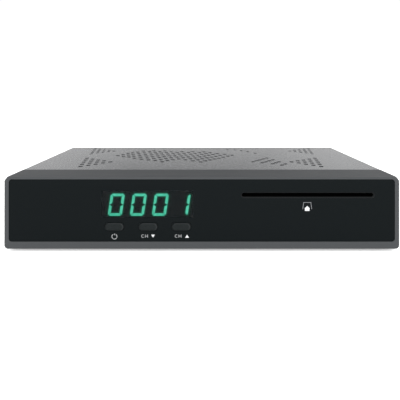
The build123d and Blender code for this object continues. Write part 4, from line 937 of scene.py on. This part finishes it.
def trace(bm, pts, w, lift=0.03):
    """A flat strip along a polyline."""
    ps = [Vector(p) for p in pts]
    left, right = [], []
    for i, p in enumerate(ps):
        d0 = (p - ps[i - 1]).normalized() if i else (ps[1] - p).normalized()
        d1 = (ps[i + 1] - p).normalized() if i < len(ps) - 1 else d0
        t = (d0 + d1).normalized()
        n_ = Vector((-t.y, t.x))
        k = w / 2 / max(0.4, n_.dot(Vector((-d0.y, d0.x))))
        left.append(bm.verts.new((p.x + n_.x * k, p.y + n_.y * k, BOARD_Z1 + lift)))
        right.append(bm.verts.new((p.x - n_.x * k, p.y - n_.y * k, BOARD_Z1 + lift)))
    for i in range(len(ps) - 1):
        bm.faces.new((right[i], right[i + 1], left[i + 1], left[i]))


leads, pads = bmesh.new(), bmesh.new()
for x, y, w, d in ICS:
    quad = min(w, d) >= 7 and abs(w - d) < 2
    pitch, lw = (0.65, 0.28) if quad else (1.27, 0.42)
    runs = [(w, 0)] if w >= d else [(d, 1)]
    if quad:
        runs = [(w, 0), (d, 1)]
    for length, along_y in runs:
        n = int((length - 0.9) / pitch) + 1
        for k in range(n):
            u = (k - (n - 1) / 2) * pitch
            for s in (-1, 1):
                if along_y:
                    gull(leads, x + s * w / 2, y + u, (s, 0), lw)
                    flat(pads, [(x + s * (w / 2 + 0.35), y + u - lw / 2 - 0.05), (x + s * (w / 2 + 1.35), y + u - lw / 2 - 0.05),
                                (x + s * (w / 2 + 1.35), y + u + lw / 2 + 0.05), (x + s * (w / 2 + 0.35), y + u + lw / 2 + 0.05)][::s], 0.035)
                else:
                    gull(leads, x + u, y + s * d / 2, (0, s), lw)
                    flat(pads, [(x + u - lw / 2 - 0.05, y + s * (d / 2 + 0.35)), (x + u + lw / 2 + 0.05, y + s * (d / 2 + 0.35)),
                                (x + u + lw / 2 + 0.05, y + s * (d / 2 + 1.35)), (x + u - lw / 2 - 0.05, y + s * (d / 2 + 1.35))][::s], 0.035)
place("chip_leads", leads, steel)

ends = bmesh.new()
for x, y, w, d in CHIPS:
    for s in (-1, 1):
        if w > d:
            bar(ends, x + s * (w / 2 - 0.2) - 0.24, x + s * (w / 2 - 0.2) + 0.24, y - d / 2 - 0.03, y + d / 2 + 0.03, BOARD_Z1 + 0.02,
                BOARD_Z1 + 0.64, 0.05, 1)
            flat(pads, [(x + s * (w / 2 + 0.45) - 0.6, y - d / 2 - 0.1), (x + s * (w / 2 + 0.45) + 0.6, y - d / 2 - 0.1),
                        (x + s * (w / 2 + 0.45) + 0.6, y + d / 2 + 0.1), (x + s * (w / 2 + 0.45) - 0.6, y + d / 2 + 0.1)], 0.035)
        else:
            bar(ends, x - w / 2 - 0.03, x + w / 2 + 0.03, y + s * (d / 2 - 0.2) - 0.24, y + s * (d / 2 - 0.2) + 0.24, BOARD_Z1 + 0.02,
                BOARD_Z1 + 0.64, 0.05, 1)
            flat(pads, [(x - w / 2 - 0.1, y + s * (d / 2 + 0.45) - 0.6), (x + w / 2 + 0.1, y + s * (d / 2 + 0.45) - 0.6),
                        (x + w / 2 + 0.1, y + s * (d / 2 + 0.45) + 0.6), (x - w / 2 - 0.1, y + s * (d / 2 + 0.45) + 0.6)], 0.035)
place("chip_end_caps", ends, steel)
rnd = random.Random(11)
for _ in range(260):
    x, y = rnd.uniform(-118, 118), rnd.uniform(-41, 72)
    disc(pads, x, y, 0.34, 0.034, 10)
place("board_pads", pads, copper_tin)

tracks = bmesh.new()
for k in range(14):                      # processor to memory
    for y0 in (-11.6, 4.4):
        y = y0 + k * 0.7
        trace(tracks, [(-8.6, y + (0.6 if y0 > 0 else -0.6)), (-4.0, y + (0.6 if y0 > 0 else -0.6)), (-3.4, y), (5.8, y)], 0.3)
for k in range(10):                      # processor to the rear sockets
    o = k * 0.75
    trace(tracks, [(-30.0 + o, 15.8), (-30.0 + o, 30.0 + o), (-16.0 + o * 0.4, 44.0 + o * 1.4), (-16.0 + o * 0.4, 58.0)], 0.3)
    trace(tracks, [(-8.6, 14.0 + o * 0.3), (2.0 + o, 24.6 + o * 0.3), (40.0 + o, 24.6 + o * 0.3 + 0.0), (62.0 + o, 46.6), (62.0 + o, 60.0)], 0.25)
    trace(tracks, [(-36.0, -8.0 + o), (-44.0 - o * 0.4, -16.0 + o * 0.6), (-52.0 - o, -32.0), (-54.0 - o, -35.5)], 0.28)
for k in range(8):                       # tuner to processor
    o = k * 0.8
    trace(tracks, [(89.0 + o, 46.5), (89.0 + o, 36.0 - o * 0.3), (84.0 + o * 0.4, 26.0), (70.0, 14.0 - o), (64.8, 12.6 - o)], 0.28)
    trace(tracks, [(55.2, 12.8 - o), (30.0, -4.0 - o * 0.4), (20.5, -14.5 - o * 0.2), (-4.0, -15.5 - o * 0.4), (-8.0, -11.6 - o * 0.3)], 0.25)
for a, b, w in (((-106, 60), (-106, 30), 3.0), ((-101, 30), (-95, 43), 2.2), ((-90, 38), (-82, 35), 2.2), ((-78, 30), (-70, 37), 1.6),
                ((-66, 6), (-38, 6), 1.8), ((-72, 18), (-72, 9), 2.0), ((88, 25), (94, 24), 1.6), ((50, 18), (56, 12), 1.4),
                ((-60, 47), (-60, 20), 1.2), ((-108, 2), (-108, -30), 1.6), ((104, -40), (104, 20), 1.2), ((118, -30), (118, 44), 1.2)):
    trace(tracks, [a, b], w, 0.025)
place("board_tracks", tracks, track)

legend = bmesh.new()


def outline(bm, pts, w=0.18):
    trace(bm, pts + [pts[0]], w, 0.045)


for x, y, w, d in ICS:
    g = 1.7
    outline(legend, [(x - w / 2 - g, y - d / 2 - g), (x + w / 2 + g, y - d / 2 - g), (x + w / 2 + g, y + d / 2 + g), (x - w / 2 - g, y + d / 2 + g)])
    disc(legend, x - w / 2 - g - 0.7, y - d / 2 - g + 0.5, 0.32, 0.045, 12)
for x0, x1, y0, y1 in ((5.2, 17.8, -12.8, -1.2), (5.2, 17.8, 3.2, 14.8), (-36.4, -7.6, -12.4, 16.4)):
    outline(legend, [(x0, y0), (x1, y0), (x1, y1), (x0, y1)])
for x, y, r, h in CAPS:
    n = 40
    ring = [(x + (r + 0.45) * math.cos(2 * math.pi * k / n), y + (r + 0.45) * math.sin(2 * math.pi * k / n)) for k in range(n)]
    outline(legend, ring)
for x, y, w, h in ((-95, 38, 8.0, 4.5), (-82, 30, 8.0, 4.5), (-70, 6, 6.0, 3.0), (88, 30, 8.0, 4.5), (46, 18, 5.0, 2.5)):
    g = w / 2 + 0.5
    outline(legend, [(x - g, y - g), (x + g, y - g), (x + g, y + g), (x - g, y + g)])
place("board_legend", legend, silk)

# sleeves: a pale polarity stripe, and a bare scored top inside the crimped rim
stripes, tops = bmesh.new(), bmesh.new()
for i, (x, y, r, h) in enumerate(CAPS):
    a0 = math.radians(200 + (i * 67) % 180)
    rows = [BOARD_Z1 + 2.3, BOARD_Z1 + h - 0.7]
    n = 7
    ring = [[stripes.verts.new((x + (r + 0.012) * math.cos(a0 + (k / n - 0.5) * 0.75), y + (r + 0.012) * math.sin(a0 + (k / n - 0.5) * 0.75), z))
             for k in range(n + 1)] for z in rows]
    for k in range(n):
        stripes.faces.new((ring[0][k], ring[0][k + 1], ring[1][k + 1], ring[1][k]))
    zt = BOARD_Z1 + h
    # three raised sectors with the score lines sunk between them
    for s in range(3):
        t0 = 2 * math.pi * s / 3 + 0.5
        pts = [(x + 0.16 * math.cos(t0 + math.pi / 3), y + 0.16 * math.sin(t0 + math.pi / 3))]
        rr = r - 0.62
        gap = 0.09 / rr
        pts += [(x + rr * math.cos(t0 + gap + (2 * math.pi / 3 - 2 * gap) * k / 12), y + rr * math.sin(t0 + gap + (2 * math.pi / 3 - 2 * gap) * k / 12))
                for k in range(13)]
        lo = [tops.verts.new((px, py, zt - 0.05)) for px, py in pts]
        hi = [tops.verts.new((px, py, zt + 0.03)) for px, py in pts]
        tops.faces.new(hi)
        for k in range(len(pts)):
            l = (k + 1) % len(pts)
            tops.faces.new((lo[k], lo[l], hi[l], hi[k]))
place("capacitor_stripes", stripes, stripe)
place("capacitor_tops", tops, can_top)

# ---------------------------------------------------------------- rocker marks, in the key's own frame, then tilted with it
TILT =Matrix.Translation(Vector(ROCKER)) @ Matrix.Rotation(math.radians(10.0), 4, "Z")


def on_key(bm):
    bmesh.ops.transform(bm, matrix=TILT, verts=bm.verts)


def key_face(u):
    """Height of the key's face over its pivot at u along the key."""
    return 3.9 + 1.4 * abs(u) / 9.0


bm = bmesh.new()
# an upright bar on one half
for u0, u1, w0, w1 in ((-5.0 - 0.35, -5.0 + 0.35, -2.0, 2.0),):
    vs = []
    for u, w in ((u0, w0), (u1, w0), (u1, w1), (u0, w1)):
        vs.append((u, w))
    f = [bm.verts.new((u, key_face(u) + 0.03, w)) for u, w in vs]
    b = [bm.verts.new((u, key_face(u) - 0.02, w)) for u, w in vs]
    bm.faces.new(f)
    bm.faces.new(b[::-1])
    for i in range(4):
        j = (i + 1) % 4
        bm.faces.new((f[i], f[j], b[j], b[i]))
# and a ring on the other
n = 36
rings = []
for r, lift in ((2.0, -0.02), (2.0, 0.03), (1.4, 0.03), (1.4, -0.02)):
    rings.append([bm.verts.new((5.0 + r * math.cos(2 * math.pi * k / n), key_face(5.0 + r * math.cos(2 * math.pi * k / n)) + lift,
                                r * math.sin(2 * math.pi * k / n))) for k in range(n)])
for a, b in zip(rings, rings[1:] + rings[:1]):
    for k in range(n):
        l = (k + 1) % n
        bm.faces.new((a[k], a[l], b[l], b[k]))
on_key(bm)
place("rocker_marks", bm, ink, body="power_rocker")

# ---------------------------------------------------------------- stage
bpy.ops.mesh.primitive_circle_add(vertices=128, radius=4.0, fill_type="NGON", location=(0, 0, 0))
floor = bpy.context.object
floor.name = "floor"
fm = Mat("floor_paper", (0.90, 0.90, 0.90), 0.85, 0.0, 0.1)
fm.set("Base Color", fm.mix(fm.remap(fm.noise(2.0), 0.3, 0.7, 0.0, 1.0), (0.895, 0.895, 0.895), (0.905, 0.905, 0.905)))
fm.set("Emission Color", (1.0, 1.0, 1.0, 1.0))
fm.set("Emission Strength", 0.4)      # a softly lit table, so little shadow gathers under the front edge
floor.data.materials.append(fm.mat)

world = bpy.data.worlds.new("studio")
bpy.context.scene.world = world
world.use_nodes = True
bg_ = world.node_tree.nodes["Background"]
bg_.inputs[0].default_value = (1.0, 1.0, 1.0, 1.0)
bg_.inputs[1].default_value = 1.03


def softbox(name, loc, aim, size, energy, size_y=None):
    l = bpy.data.lights.new(name, "AREA")
    l.shape = "RECTANGLE"
    l.size = size
    l.size_y = size_y or size
    l.energy = energy
    o = bpy.data.objects.new(name, l)
    o.location = loc
    d = Vector(aim) - Vector(loc)
    o.rotation_euler = d.to_track_quat("-Z", "Y").to_euler()
    bpy.context.scene.collection.objects.link(o)
    return o


softbox("front", (0.0, -1.50, 1.09), (0, 0, 0.0), 2.3, 52.0, 1.3)
softbox("right", (1.3, -0.5, 0.5), (0, -0.05, 0.03), 0.7, 2.0)

# a grey flag above the backdrop, out of the frame, that the cover picks up towards its front edge
bm = bmesh.new()
bmesh.ops.create_grid(bm, x_segments=1, y_segments=1, size=0.5)
me = bpy.data.meshes.new("flag")
bm.to_mesh(me)
bm.free()
flag = bpy.data.objects.new("flag", me)
bpy.context.scene.collection.objects.link(flag)
flag.location = (-0.07, 2.2, 0.94)
flag.visible_camera = False
flag.rotation_euler = (math.radians(90), 0, 0)
flag.scale = (2.4, 1.0, 1.0)
flm = Mat("flag_cloth", (0.04, 0.04, 0.04), 0.9, 0.0, 0.0)
flm.set("Base Color", flm.mix(flm.noise(30.0), (0.036, 0.036, 0.036), (0.044, 0.044, 0.044)))
# thin at both ends, dense in the middle
thin = flm.remap(flm.math("ABSOLUTE", flm.axis(0)), 0.10, 0.36, 0.0, 1.0, smooth=True)
flm.set("Emission Color", flm.mix(thin, (0.02, 0.02, 0.02), (0.76, 0.76, 0.76)))
flm.set("Emission Strength", 1.0)
flm.mat.cycles.emission_sampling = "NONE"
me.materials.append(flm.mat)

cam_data = bpy.data.cameras.new("camera")
cam = bpy.data.objects.new("camera", cam_data)
bpy.context.scene.collection.objects.link(cam)
cam.location = (0.0, -0.40145, 0.10642)
cam.rotation_euler = (math.radians(90), 0, 0)
cam_data.lens = 43.05
cam_data.sensor_width = 36.0
cam_data.sensor_fit = "HORIZONTAL"
cam_data.shift_x = -0.00448
cam_data.shift_y = -0.27368
cam_data.clip_start = 0.01
cam_data.clip_end = 20.0
bpy.context.scene.camera = cam
bpy.context.scene.view_settings.view_transform = "Standard"
bpy.context.scene.view_settings.look = "None"
bpy.context.scene.view_settings.exposure = 0.0
bpy.context.scene.view_settings.gamma = 1.0
